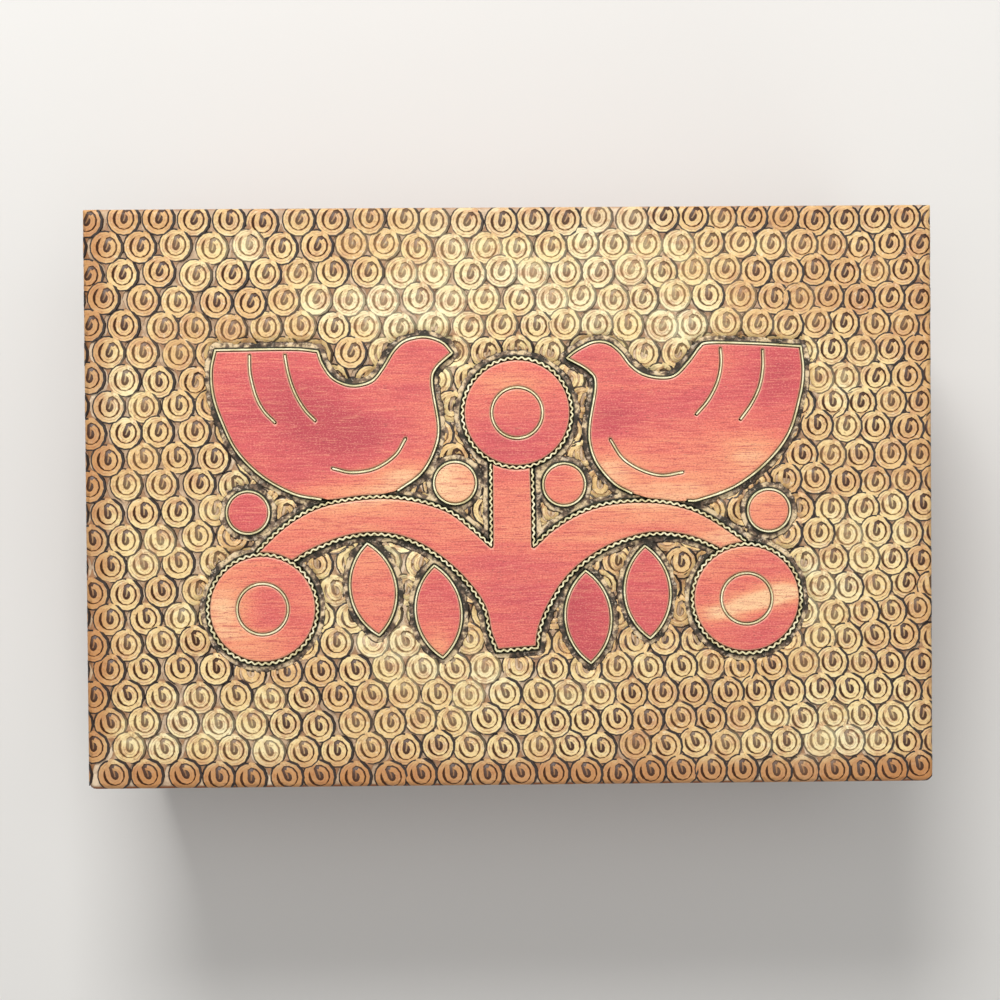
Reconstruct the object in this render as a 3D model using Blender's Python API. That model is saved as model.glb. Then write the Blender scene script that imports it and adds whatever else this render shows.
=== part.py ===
"""Wooden jewellery box: a hinged lid with a raised picture edged in brass strip, on a finger-jointed case.

Metres, +Z up. +X runs along the box and +Y towards its hinges. The origin is the centre of the underside.
The picture's points are shares of PICTURE_LENGTH, measured from the middle of the lid.
"""

import math

import bmesh
import bpy
from mathutils import Matrix, Vector
from mathutils.geometry import interpolate_bezier

# Lid board, from its underside to the tops of the raised fields
LID_LENGTH = 0.180
LID_WIDTH = 0.123
LID_THICKNESS = 0.009
LID_OVERHANG = 0.005
LID_EDGE_ROUND = 0.0012

# Case
CASE_HEIGHT = 0.053
WALL = 0.008
FINGER_COUNT = 5
BOTTOM_THICKNESS = 0.004
REBATE = 0.004

# Picture on the lid, with a margin of ground beyond each end
PICTURE_MARGIN = 0.02675
FIELD_RISE = 0.0006
ROSETTE_RADIUS_SHARE = 0.0917
EYE_RADIUS_SHARE = 0.0427
BERRY_RADIUS_SHARE = 0.0356
LEAF_LENGTH_SHARE = 0.1557
LEAF_WIDTH_SHARE = 0.0775

# Brass strip, standing on edge in its slit
STRIP_THICKNESS = 0.0005
STRIP_DEPTH = 0.0022
STRIP_PROUD = 0.0002
SLIT_CLEARANCE = 0.00025
WAVE_LENGTH = 0.0015
WAVE_HEIGHT = 0.00025

# Hinges: a plate let into each part, knuckles behind the back wall, and a pin
PLATE_LENGTH = 0.020
PLATE_WIDTH = 0.0062
PLATE_THICKNESS = 0.0011
HINGE_SETBACK = 0.030
KNUCKLE_COUNT = 3
KNUCKLE_GAP = 0.0003
PIN_RADIUS = 0.0006
PIN_CLEARANCE = 0.0002
SCREW_SPREAD = 0.012
SCREW_LENGTH = 0.006
SCREW_RADIUS = 0.0007
SCREW_TIP = 0.0012
SCREW_HEAD_RADIUS = 0.0015
SCREW_HEAD_DEPTH = 0.0008

# Fit and fineness
SEAM = 0.0003
OVERRUN = 0.001
CURVE_STEP = 0.0023
CURVE_DIVISIONS = 12
SHARPEST_MITRE = 0.4
ROUND_SIDES = 16
SCREW_SIDES = 10
EDGE_SEGMENTS = 3
SMOOTHEST_EDGE_DEGREES = 30

# Sizes that follow from those above
CASE_LENGTH = LID_LENGTH - 2 * LID_OVERHANG
CASE_WIDTH = LID_WIDTH - 2 * LID_OVERHANG
LID_UNDERSIDE = CASE_HEIGHT + SEAM
PICTURE_LENGTH = LID_LENGTH - 2 * PICTURE_MARGIN
ROSETTE_RADIUS = ROSETTE_RADIUS_SHARE * PICTURE_LENGTH
EYE_RADIUS = EYE_RADIUS_SHARE * PICTURE_LENGTH
BERRY_RADIUS = BERRY_RADIUS_SHARE * PICTURE_LENGTH
LEAF_LENGTH = LEAF_LENGTH_SHARE * PICTURE_LENGTH
LEAF_WIDTH = LEAF_WIDTH_SHARE * PICTURE_LENGTH
GROUND = LID_THICKNESS - FIELD_RISE
STRIP_TOP = LID_THICKNESS + STRIP_PROUD
SLIT_FLOOR = STRIP_TOP - STRIP_DEPTH - SEAM
STRIP_SLIT = STRIP_THICKNESS + 2 * SLIT_CLEARANCE
WAVED_SLIT = STRIP_SLIT + 2 * WAVE_HEIGHT
JOIN_GAP = STRIP_THICKNESS + 2 * WAVE_HEIGHT + SEAM
BARREL_RADIUS = PLATE_THICKNESS + SEAM / 2
PLATE_EDGE = BARREL_RADIUS + SEAM
HINGE_X = CASE_LENGTH / 2 - HINGE_SETBACK - PLATE_LENGTH / 2
HINGE_Y = CASE_WIDTH / 2 + PLATE_EDGE
HINGE_Z = CASE_HEIGHT + SEAM / 2

# The birds' edges, as runs that meet at sharp corners. Each starts and ends where the branch edges it below.
BIRD_EDGE_SHARES = {
    "left": (
        ((-0.316, -0.002), (-0.363, 0.008), (-0.416, 0.038), (-0.457, 0.080), (-0.481, 0.129),
         (-0.495, 0.172), (-0.498, 0.214), (-0.491, 0.249)),
        ((-0.491, 0.249), (-0.365, 0.250), (-0.320, 0.246)),
        ((-0.320, 0.246), (-0.312, 0.224), (-0.294, 0.200), (-0.263, 0.188), (-0.231, 0.195), (-0.212, 0.216),
         (-0.193, 0.246), (-0.173, 0.263), (-0.141, 0.269), (-0.112, 0.260), (-0.095, 0.242)),
        ((-0.095, 0.242), (-0.123, 0.216), (-0.129, 0.189), (-0.119, 0.121), (-0.125, 0.082),
         (-0.148, 0.041), (-0.188, 0.012)),
    ),
    "right": (
        ((0.299, -0.009), (0.319, -0.007), (0.379, 0.015), (0.432, 0.055), (0.469, 0.103),
         (0.488, 0.164), (0.494, 0.207), (0.490, 0.249)),
        ((0.490, 0.249), (0.415, 0.254), (0.335, 0.256), (0.318, 0.247)),
        ((0.318, 0.247), (0.300, 0.223), (0.277, 0.201), (0.250, 0.198), (0.223, 0.205), (0.203, 0.220),
         (0.186, 0.242), (0.165, 0.257), (0.141, 0.258), (0.114, 0.245), (0.097, 0.232)),
        ((0.097, 0.232), (0.134, 0.210), (0.145, 0.187), (0.135, 0.123), (0.135, 0.088),
         (0.147, 0.054), (0.175, 0.021), (0.205, 0.004)),
    ),
}
# Where each bird's field meets the branch below it, between the two ends of its strip
BIRD_FOOT_SHARE = {"left": (-0.252, -0.002), "right": (0.252, -0.010)}
# Lines on the birds' tails and breasts
BIRD_LINE_SHARES = {
    "tail_outer_left": ((-0.434, 0.240), (-0.433, 0.209), (-0.424, 0.172), (-0.411, 0.147), (-0.392, 0.127)),
    "tail_inner_left": ((-0.375, 0.240), (-0.369, 0.207), (-0.358, 0.175), (-0.342, 0.148), (-0.325, 0.130)),
    "tail_inner_right": ((0.355, 0.246), (0.356, 0.221), (0.350, 0.191), (0.335, 0.161), (0.314, 0.136)),
    "tail_outer_right": ((0.426, 0.243), (0.426, 0.212), (0.420, 0.181), (0.406, 0.152), (0.388, 0.127)),
    "breast_left": ((-0.297, 0.050), (-0.265, 0.043), (-0.226, 0.049), (-0.192, 0.071), (-0.174, 0.099)),
    "breast_right": ((0.169, 0.095), (0.189, 0.064), (0.219, 0.044), (0.254, 0.034), (0.291, 0.039)),
}
ROSETTE_SHARES = {"centre": (0.013, 0.141), "left": (-0.416, -0.185), "right": (0.397, -0.174)}
BERRY_SHARES = {
    "outer_left": (-0.439, -0.023),
    "inner_left": (-0.092, 0.024),
    "inner_right": (0.091, 0.020),
    "outer_right": (0.435, -0.026),
}
# Each leaf's upper tip, and how many degrees its lower tip swings towards +X
LEAF_TIP_SHARES = {
    "outer_left": ((-0.240, -0.076), 7),
    "inner_left": ((-0.128, -0.114), 5),
    "inner_right": ((0.126, -0.125), 3),
    "outer_right": ((0.226, -0.084), 3),
}
# The tree's three edges, as runs that meet at sharp corners. Each starts and ends inside a rosette.
TREE_EDGE_SHARES = {
    "branch_left": (
        ((-0.032, 0.080), (-0.032, -0.014), (-0.032, -0.082)),
        ((-0.032, -0.082), (-0.062, -0.054), (-0.102, -0.023), (-0.153, -0.005), (-0.210, 0.002),
         (-0.269, -0.002), (-0.323, -0.014), (-0.374, -0.042), (-0.421, -0.085), (-0.446, -0.118)),
    ),
    "trunk": (
        ((-0.386, -0.121), (-0.361, -0.104), (-0.324, -0.084), (-0.273, -0.066), (-0.220, -0.061),
         (-0.169, -0.072), (-0.120, -0.100), (-0.075, -0.142), (-0.045, -0.186), (-0.036, -0.227),
         (-0.024, -0.259)),
        ((-0.024, -0.259), (0.045, -0.254)),
        ((0.045, -0.254), (0.048, -0.227), (0.062, -0.190), (0.092, -0.142), (0.133, -0.105),
         (0.184, -0.078), (0.243, -0.064), (0.302, -0.071), (0.346, -0.089), (0.373, -0.103)),
    ),
    "branch_right": (
        ((0.037, 0.070), (0.039, -0.014), (0.039, -0.083)),
        ((0.039, -0.083), (0.071, -0.054), (0.114, -0.028), (0.164, -0.012), (0.227, -0.008),
         (0.282, -0.015), (0.333, -0.035), (0.398, -0.079), (0.428, -0.106)),
    ),
}
TREE_ENDS = {
    "branch_left": ("centre", "left"),
    "trunk": ("left", "right"),
    "branch_right": ("centre", "right"),
}


def clear_scene():
    for thing in list(bpy.data.objects):
        bpy.data.objects.remove(thing)


def material(name, colour, roughness, metallic=0.0):
    made = bpy.data.materials.new(name)
    made.use_nodes = True
    shader = made.node_tree.nodes["Principled BSDF"]
    shader.inputs["Base Color"].default_value = (*colour, 1.0)
    shader.inputs["Roughness"].default_value = roughness
    shader.inputs["Metallic"].default_value = metallic
    made.diffuse_color = (*colour, 1.0)
    return made


def mesh_of(bm, name):
    """The closed surface in bm as a mesh whose faces point out."""
    bmesh.ops.recalc_face_normals(bm, faces=bm.faces)
    mesh = bpy.data.meshes.new(name)
    bm.to_mesh(mesh)
    bm.free()
    return mesh


def box(low, high):
    bm = bmesh.new()
    bmesh.ops.create_cube(bm, size=1.0)
    middle = (Vector(low) + Vector(high)) / 2
    size = Vector(high) - Vector(low)
    bmesh.ops.transform(bm, verts=bm.verts, matrix=Matrix.Translation(middle) @ Matrix.Diagonal((*size, 1.0)))
    return mesh_of(bm, "box")


def prism(outline, low, high):
    """The outline's inside, from the height low to the height high."""
    bm = bmesh.new()
    face = bm.faces.new([bm.verts.new((x, y, low)) for x, y in outline])
    grown = bmesh.ops.extrude_face_region(bm, geom=[face])
    risen = [item for item in grown["geom"] if isinstance(item, bmesh.types.BMVert)]
    bmesh.ops.translate(bm, verts=risen, vec=(0, 0, high - low))
    return mesh_of(bm, "prism")


def turned(profile, sides):
    """A solid of revolution about Z. The profile runs from pole to pole as (radius, height)."""
    bm = bmesh.new()
    rings = []
    for radius, height in profile:
        spokes = range(sides if radius else 1)
        angles = [2 * math.pi * spoke / sides for spoke in spokes]
        rings.append([bm.verts.new((radius * math.cos(a), radius * math.sin(a), height)) for a in angles])
    for ring, following in zip(rings, rings[1:]):
        for side in range(sides):
            turn = (side + 1) % sides
            corners = [ring[side % len(ring)], ring[turn % len(ring)],
                       following[turn % len(following)], following[side % len(following)]]
            bm.faces.new(list(dict.fromkeys(corners)))
    return mesh_of(bm, "turned")


def rod_along_x(radius, start, end):
    mesh = turned([(0, start), (radius, start), (radius, end), (0, end)], ROUND_SIDES)
    mesh.transform(Matrix.Rotation(math.radians(90), 4, "Y"))
    return mesh


def moved(mesh, place, turn=None):
    """A copy of the mesh, turned and then moved."""
    copy = mesh.copy()
    copy.transform(Matrix.Translation(place) @ (turn or Matrix()))
    return copy


def carved(base, add=(), cut=()):
    """The base mesh joined with each mesh of add, less each mesh of cut."""
    body = bpy.data.objects.new("body", base)
    bpy.context.scene.collection.objects.link(body)
    helpers = [body]
    groups = []
    for operation, meshes in (("UNION", add), ("DIFFERENCE", cut)):
        if not meshes:
            continue
        group = bpy.data.collections.new(operation.lower())
        groups.append(group)
        for mesh in meshes:
            helper = bpy.data.objects.new("helper", mesh)
            group.objects.link(helper)
            helpers.append(helper)
        step = body.modifiers.new(operation.lower(), "BOOLEAN")
        step.operation = operation
        step.solver = "EXACT"
        step.operand_type = "COLLECTION"
        step.collection = group
    bpy.context.view_layer.update()
    result = bpy.data.meshes.new_from_object(body.evaluated_get(bpy.context.evaluated_depsgraph_get()))
    for helper in helpers:
        bpy.data.objects.remove(helper)
    for group in groups:
        bpy.data.collections.remove(group)
    return result


def place(name, mesh, finish, location=(0, 0, 0), pivot=None, turn=0.0, flip=0.0):
    """A named piece of the box. The location is in the box's frame also under a pivot."""
    piece = bpy.data.objects.new(name, mesh)
    bpy.context.scene.collection.objects.link(piece)
    if not mesh.materials:
        mesh.materials.append(finish)
    piece.rotation_euler = (flip, 0, turn)
    piece.location = location
    if pivot:
        piece.parent = pivot
        piece.location = Vector(location) - pivot.location
    return piece


def on_picture(share):
    return Vector(share) * PICTURE_LENGTH


def smooth_run(shares):
    """Close points of a smooth curve through the shares of one run."""
    knots = [on_picture(share) for share in shares]
    padded = [2 * knots[0] - knots[1], *knots, 2 * knots[-1] - knots[-2]]
    path = []
    for before, start, end, after in zip(padded, padded[1:], padded[2:], padded[3:]):
        leaving = start + (end - before) / 6
        arriving = end - (after - start) / 6
        path += interpolate_bezier(start, leaving, arriving, end, CURVE_DIVISIONS + 1)[:-1]
    return path + [knots[-1]]


def evenly(path, spacing, multiple=1):
    """Points along the path, about a spacing apart, with its ends kept and their count a multiple."""
    reach = [0.0]
    for start, end in zip(path, path[1:]):
        reach.append(reach[-1] + (end - start).length)
    count = multiple * max(1, round(reach[-1] / spacing / multiple))
    points = []
    stretch = 0
    for index in range(count + 1):
        target = reach[-1] * index / count
        while stretch < len(path) - 2 and reach[stretch + 1] < target:
            stretch += 1
        share = (target - reach[stretch]) / (reach[stretch + 1] - reach[stretch])
        points.append(path[stretch].lerp(path[stretch + 1], min(1.0, share)))
    return points


def joined(runs):
    """One path from runs that share their end points."""
    path = list(runs[0])
    for run in runs[1:]:
        path += run[1:]
    return path


def beyond(path, middle, radius):
    """The path without the end that lies within the radius of the middle point."""
    if (path[0] - middle).length > (path[-1] - middle).length:
        return beyond(path[::-1], middle, radius)[::-1]
    outside = next(index for index, point in enumerate(path) if (point - middle).length > radius)
    if not outside:
        return path
    inner, outer = path[outside - 1], path[outside]
    near, far = (inner - middle).length, (outer - middle).length
    return [inner.lerp(outer, (radius - near) / (far - near))] + path[outside:]


def circle(middle, radius, spacing, multiple=1):
    count = multiple * round(2 * math.pi * radius / spacing / multiple)
    angles = [2 * math.pi * index / count for index in range(count)]
    return [middle + radius * Vector((math.cos(angle), math.sin(angle))) for angle in angles]


def leaf_outline(tip, swing):
    """Two equal arcs that meet in points. The leaf hangs from its tip and swings by degrees towards +X."""
    bow = LEAF_WIDTH / 2
    half = LEAF_LENGTH / 2
    radius = (half ** 2 + bow ** 2) / (2 * bow)
    spread = math.asin(half / radius)
    count = round(2 * radius * spread / CURVE_STEP)
    angles = [spread * (1 - 2 * index / count) for index in range(count)]
    side = [Vector((radius * math.cos(a) - radius + bow, radius * math.sin(a) - half)) for a in angles]
    opposite = [Vector((-point.x, -LEAF_LENGTH - point.y)) for point in side]
    lean = Matrix.Rotation(math.radians(swing), 2)
    return [tip + lean @ point for point in side + opposite]


def mitres(path, closed):
    """For each point, the step to the left that keeps a band's width through the bend."""
    steps = []
    last = len(path) - 1
    for index, point in enumerate(path):
        arms = []
        if closed or index > 0:
            arms.append((point - path[index - 1]).normalized())
        if closed or index < last:
            arms.append((path[(index + 1) % len(path)] - point).normalized())
        along = sum(arms, Vector((0, 0))).normalized()
        left = Vector((-along.y, along.x))
        steps.append(left / max(left.dot(Vector((-arms[0].y, arms[0].x))), SHARPEST_MITRE))
    return steps


def waved(path, closed):
    """The path bent to and fro, with its ends and the two points next to each left straight."""
    points = []
    for index, (point, step) in enumerate(zip(path, mitres(path, closed))):
        inside = closed or 1 < index < len(path) - 2
        points.append(point + step * WAVE_HEIGHT * (-1) ** index * inside)
    return points


def band(path, closed, width, low, high):
    """A ribbon on edge that follows the path, with the given width and heights."""
    bm = bmesh.new()
    sections = []
    for point, step in zip(path, mitres(path, closed)):
        left, right = point + step * width / 2, point - step * width / 2
        corners = ((left, high), (right, high), (right, low), (left, low))
        sections.append([bm.verts.new((side.x, side.y, height)) for side, height in corners])
    following = sections[1:] + sections[:1] if closed else sections[1:]
    for start, end in zip(sections, following):
        for corner in range(4):
            turn = (corner + 1) % 4
            bm.faces.new((start[corner], start[turn], end[turn], end[corner]))
    if not closed:
        bm.faces.new(sections[0])
        bm.faces.new(sections[-1])
    return mesh_of(bm, "band")


def lengthened(path):
    """The open path with a seam's length added at both ends."""
    start = path[0] + (path[0] - path[1]).normalized() * SEAM
    end = path[-1] + (path[-1] - path[-2]).normalized() * SEAM
    return [start, *path, end]


def strip_between(path, closed):
    return band(path, closed, STRIP_THICKNESS, STRIP_TOP - STRIP_DEPTH, STRIP_TOP)


def slit_along(path, closed, width):
    return band(path, closed, width, SLIT_FLOOR, STRIP_TOP + OVERRUN)


def field_in(outline):
    return prism(outline, GROUND - FIELD_RISE, LID_THICKNESS)


class Picture:
    """The lid's picture: fields to raise, slits to cut, and the strip that fills each slit."""

    def __init__(self):
        self.fields = []
        self.slits = []
        self.strips = {}

    def plain_edge(self, name, path, closed):
        self.strips[name] = strip_between(path, closed)
        self.slits.append(slit_along(path if closed else lengthened(path), closed, STRIP_SLIT))

    def add_birds(self):
        for side, runs in BIRD_EDGE_SHARES.items():
            path = joined([evenly(smooth_run(run), CURVE_STEP) for run in runs])
            self.fields.append(field_in(path + [on_picture(BIRD_FOOT_SHARE[side])]))
            self.plain_edge(f"bird_{side}_strip", path, closed=False)
        for name, shares in BIRD_LINE_SHARES.items():
            self.plain_edge(f"{name}_strip", evenly(smooth_run(shares), CURVE_STEP), closed=False)

    def add_berries_and_leaves(self):
        for name, share in BERRY_SHARES.items():
            path = circle(on_picture(share), BERRY_RADIUS, CURVE_STEP)
            self.fields.append(field_in(path))
            self.plain_edge(f"berry_{name}_strip", path, closed=True)
        for name, (share, swing) in LEAF_TIP_SHARES.items():
            path = leaf_outline(on_picture(share), swing)
            self.fields.append(field_in(path))
            self.plain_edge(f"leaf_{name}_strip", path, closed=True)

    def add_rosettes(self):
        for name, share in ROSETTE_SHARES.items():
            middle = on_picture(share)
            path = circle(middle, ROSETTE_RADIUS, CURVE_STEP)
            wave = waved(circle(middle, ROSETTE_RADIUS, WAVE_LENGTH / 2, multiple=2), closed=True)
            self.fields.append(field_in(path))
            self.slits.append(slit_along(path, True, WAVED_SLIT))
            self.strips[f"rosette_{name}_strip"] = strip_between(wave, closed=True)
            self.plain_edge(f"rosette_{name}_eye_strip", circle(middle, EYE_RADIUS, CURVE_STEP), closed=True)

    def add_tree(self):
        """The three edges, each cut back to the rosettes it runs between, round one field."""
        edges = {}
        for name, runs in TREE_EDGE_SHARES.items():
            middles = [on_picture(ROSETTE_SHARES[end]) for end in TREE_ENDS[name]]
            smooth = [smooth_run(run) for run in runs]
            edges[name] = self.cut_back(smooth, middles, ROSETTE_RADIUS, CURVE_STEP)
            self.slits.append(slit_along(joined(edges[name]), False, WAVED_SLIT))
            pieces = self.cut_back(smooth, middles, ROSETTE_RADIUS + JOIN_GAP, WAVE_LENGTH / 2)
            self.strips[f"{name}_strip"] = strip_between(joined([waved(run, False) for run in pieces]), False)
        middle = {name: on_picture(share) for name, share in ROSETTE_SHARES.items()}
        outline = joined(edges["branch_left"]) + [middle["left"]] + joined(edges["trunk"]) + [middle["right"]]
        outline += joined(edges["branch_right"])[::-1] + [middle["centre"]]
        self.fields.append(field_in(outline))

    @staticmethod
    def cut_back(runs, middles, radius, spacing):
        """The runs of one edge, clear of the rosette at each end, with even points."""
        kept = list(runs)
        kept[0] = beyond(kept[0], middles[0], radius)
        kept[-1] = beyond(kept[-1], middles[1], radius)
        return [evenly(run, spacing) for run in kept]


def lid_blank():
    """The board up to the ground round the picture, with its upper edges and corners rounded."""
    bm = bmesh.new()
    bmesh.ops.create_cube(bm, size=1.0)
    size = Matrix.Diagonal((LID_LENGTH, LID_WIDTH, GROUND, 1.0))
    bmesh.ops.transform(bm, verts=bm.verts, matrix=Matrix.Translation((0, 0, GROUND / 2)) @ size)
    rounded = [edge for edge in bm.edges if any(vert.co.z > GROUND / 2 for vert in edge.verts)]
    bmesh.ops.bevel(bm, geom=rounded, offset=LID_EDGE_ROUND, segments=EDGE_SEGMENTS, profile=0.5,
                    affect="EDGES")
    return mesh_of(bm, "lid_blank")


def screw_profile(clearance):
    """A countersunk wood screw with its flat head at height 0, or the hole for it."""
    tip = -SCREW_LENGTH - clearance
    shank = SCREW_RADIUS + clearance
    head = SCREW_HEAD_RADIUS + clearance
    rim = OVERRUN if clearance else 0.0
    profile = [(0, tip), (shank, tip + SCREW_TIP), (shank, -SCREW_HEAD_DEPTH), (head, 0)]
    return profile + ([(head, rim)] if clearance else []) + [(0, rim)]


def screw_places():
    """The middle of each screw on a plate, from the middle of the hinge's axis."""
    return [Vector((side * SCREW_SPREAD / 2, -PLATE_EDGE - PLATE_WIDTH / 2, 0)) for side in (-1, 1)]


def hinge_leaf(side):
    """One plate with its knuckles, about the pin. Side is -1 for the case's leaf and 1 for the lid's."""
    heights = sorted((side * SEAM / 2, side * (SEAM / 2 + PLATE_THICKNESS)))
    half = PLATE_LENGTH / 2
    plate = box((-half, -PLATE_EDGE - PLATE_WIDTH, heights[0]), (half, -PLATE_EDGE, heights[1]))
    knuckles = []
    pitch = PLATE_LENGTH / KNUCKLE_COUNT
    for index in range(1 if side > 0 else 0, KNUCKLE_COUNT, 2):
        start = -half + index * pitch + (KNUCKLE_GAP / 2 if index else 0)
        end = -half + (index + 1) * pitch - (KNUCKLE_GAP / 2 if index < KNUCKLE_COUNT - 1 else 0)
        knuckles.append(rod_along_x(BARREL_RADIUS, start, end))
        knuckles.append(box((start, -PLATE_EDGE - SEAM, heights[0]), (end, 0, heights[1])))
    over = Matrix.Rotation(math.pi, 4, "X") if side > 0 else Matrix()
    hole = turned(screw_profile(SEAM), SCREW_SIDES)
    holes = [moved(hole, spot + Vector((0, 0, side * SEAM / 2)), over) for spot in screw_places()]
    bore = rod_along_x(PIN_RADIUS + PIN_CLEARANCE, -half - OVERRUN, half + OVERRUN)
    return carved(carved(plate, add=knuckles), cut=[bore, *holes])


def mortise(side):
    """The room for a leaf in the wood, about the pin, deep enough to let the leaf in flush."""
    half = PLATE_LENGTH / 2 + SEAM
    heights = sorted((-side * OVERRUN, side * (SEAM / 2 + PLATE_THICKNESS + SEAM)))
    back = BARREL_RADIUS + SEAM if side > 0 else 0.0
    return box((-half, -PLATE_EDGE - PLATE_WIDTH - SEAM, heights[0]), (half, back, heights[1]))


def hinge_pockets(side):
    """What both hinges take out of the lid or the back wall, in the box's frame."""
    pockets = []
    over = Matrix.Rotation(math.pi, 4, "X") if side > 0 else Matrix()
    hole = turned(screw_profile(SEAM), SCREW_SIDES)
    for end in (-1, 1):
        axis = Vector((end * HINGE_X, HINGE_Y, HINGE_Z))
        pockets.append(moved(mortise(side), axis))
        for spot in screw_places():
            pockets.append(moved(hole, axis + spot + Vector((0, 0, side * SEAM / 2)), over))
    return pockets


def finger_edge(finger, notch, stands_out_first):
    """One end of a wall, from the bottom up, as (distance along the wall, height)."""
    points = []
    pitch = CASE_HEIGHT / FINGER_COUNT
    for index in range(FINGER_COUNT):
        stands_out = (index % 2 == 0) == stands_out_first
        play = SEAM / 2 if stands_out else -SEAM / 2
        low = index * pitch + (play if index else 0)
        high = (index + 1) * pitch - (play if index < FINGER_COUNT - 1 else 0)
        reach = finger if stands_out else notch
        points += [(reach, low), (reach, high)]
    return points


def wall_mesh(length, stands_out_first):
    """A wall with finger joints at both ends, about the middle of its lower outer edge, its inside to +Y."""
    end = finger_edge(length / 2, length / 2 - WALL - SEAM, stands_out_first)
    outline = end + [(-along, height) for along, height in reversed(end)]
    mesh = prism(outline, -WALL, 0)
    mesh.transform(Matrix.Rotation(math.radians(90), 4, "X"))
    return mesh


def build_case(finishes):
    length, width = CASE_LENGTH / 2, CASE_WIDTH / 2
    rim = WALL - REBATE
    room = box((-length + rim, -width + rim, -OVERRUN), (length - rim, width - rim, BOTTOM_THICKNESS + SEAM))
    walls = {
        "front_wall": (CASE_LENGTH, True, Vector((0, -width, 0)), 0.0, []),
        "back_wall": (CASE_LENGTH, True, Vector((0, width, 0)), math.pi, hinge_pockets(-1)),
        "left_wall": (CASE_WIDTH, False, Vector((-length, 0, 0)), -math.pi / 2, []),
        "right_wall": (CASE_WIDTH, False, Vector((length, 0, 0)), math.pi / 2, []),
    }
    for name, (long, stands_out_first, location, turn, pockets) in walls.items():
        home = Matrix.Translation(location) @ Matrix.Rotation(turn, 4, "Z")
        cutters = [moved(cutter, (0, 0, 0), home.inverted()) for cutter in [room, *pockets]]
        mesh = carved(wall_mesh(long, stands_out_first), cut=cutters)
        place(name, mesh, finishes["stained_wood"], location, turn=turn)
    edge = Vector((length - rim - SEAM, width - rim - SEAM, 0))
    panel = box(-edge, edge + Vector((0, 0, BOTTOM_THICKNESS)))
    place("bottom_panel", panel, finishes["plywood"])


def build_hinges(pivot, finishes):
    case_leaf, lid_leaf = hinge_leaf(-1), hinge_leaf(1)
    pin = rod_along_x(PIN_RADIUS, -PLATE_LENGTH / 2, PLATE_LENGTH / 2)
    screw = turned(screw_profile(0.0), SCREW_SIDES)
    below, above = Vector((0, 0, -SEAM / 2)), Vector((0, 0, SEAM / 2))
    for side, end in (("left", -1), ("right", 1)):
        axis = Vector((end * HINGE_X, HINGE_Y, HINGE_Z))
        place(f"case_hinge_leaf_{side}", case_leaf, finishes["hinge_brass"], axis)
        place(f"lid_hinge_leaf_{side}", lid_leaf, finishes["hinge_brass"], axis, pivot)
        place(f"hinge_pin_{side}", pin, finishes["hinge_brass"], axis)
        for number, spot in enumerate(screw_places(), 1):
            place(f"case_screw_{side}_{number}", screw, finishes["screw_brass"], axis + spot + below)
            place(f"lid_screw_{side}_{number}", screw, finishes["screw_brass"], axis + spot + above, pivot,
                  flip=math.pi)


def build_lid(pivot, finishes):
    picture = Picture()
    picture.add_birds()
    picture.add_berries_and_leaves()
    picture.add_rosettes()
    picture.add_tree()
    underside = Vector((0, 0, LID_UNDERSIDE))
    pockets = [moved(cutter, -underside) for cutter in hinge_pockets(1)]
    board = carved(carved(lid_blank(), add=picture.fields), cut=picture.slits + pockets)
    place("lid_board", board, finishes["carved_wood"], underside, pivot)
    for name, strip in picture.strips.items():
        place(name, strip, finishes["inlay_brass"], underside, pivot)


def build():
    clear_scene()
    finishes = {
        "carved_wood": material("carved_wood", (0.58, 0.30, 0.13), 0.55),
        "stained_wood": material("stained_wood", (0.36, 0.15, 0.05), 0.5),
        "plywood": material("plywood", (0.62, 0.45, 0.27), 0.7),
        "inlay_brass": material("inlay_brass", (0.84, 0.75, 0.50), 0.35, 1.0),
        "hinge_brass": material("hinge_brass", (0.72, 0.53, 0.24), 0.4, 1.0),
        "screw_brass": material("screw_brass", (0.68, 0.49, 0.22), 0.35, 1.0),
    }
    pivot = bpy.data.objects.new("lid_pivot", None)
    pivot.location = (0, HINGE_Y, HINGE_Z)
    bpy.context.scene.collection.objects.link(pivot)
    build_case(finishes)
    build_hinges(pivot, finishes)
    build_lid(pivot, finishes)
    for piece in bpy.context.scene.objects:
        if piece.type == "MESH":
            piece.data.shade_smooth()
            piece.data.set_sharp_from_angle(angle=math.radians(SMOOTHEST_EDGE_DEGREES))


build()
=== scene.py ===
"""Wooden jewellery box: fine shapes and finishes for every piece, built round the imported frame.

Metres, +Z up. +X runs along the box and +Y towards its hinges. The picture on the lid is dyed and edged in
brass strip, and the ground round it is punched all over with a spiral stamp.
"""

import math

import bmesh
import bpy
import numpy as np
from mathutils import Matrix, Vector, noise
from mathutils.geometry import delaunay_2d_cdt
from mathutils.kdtree import KDTree


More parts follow.
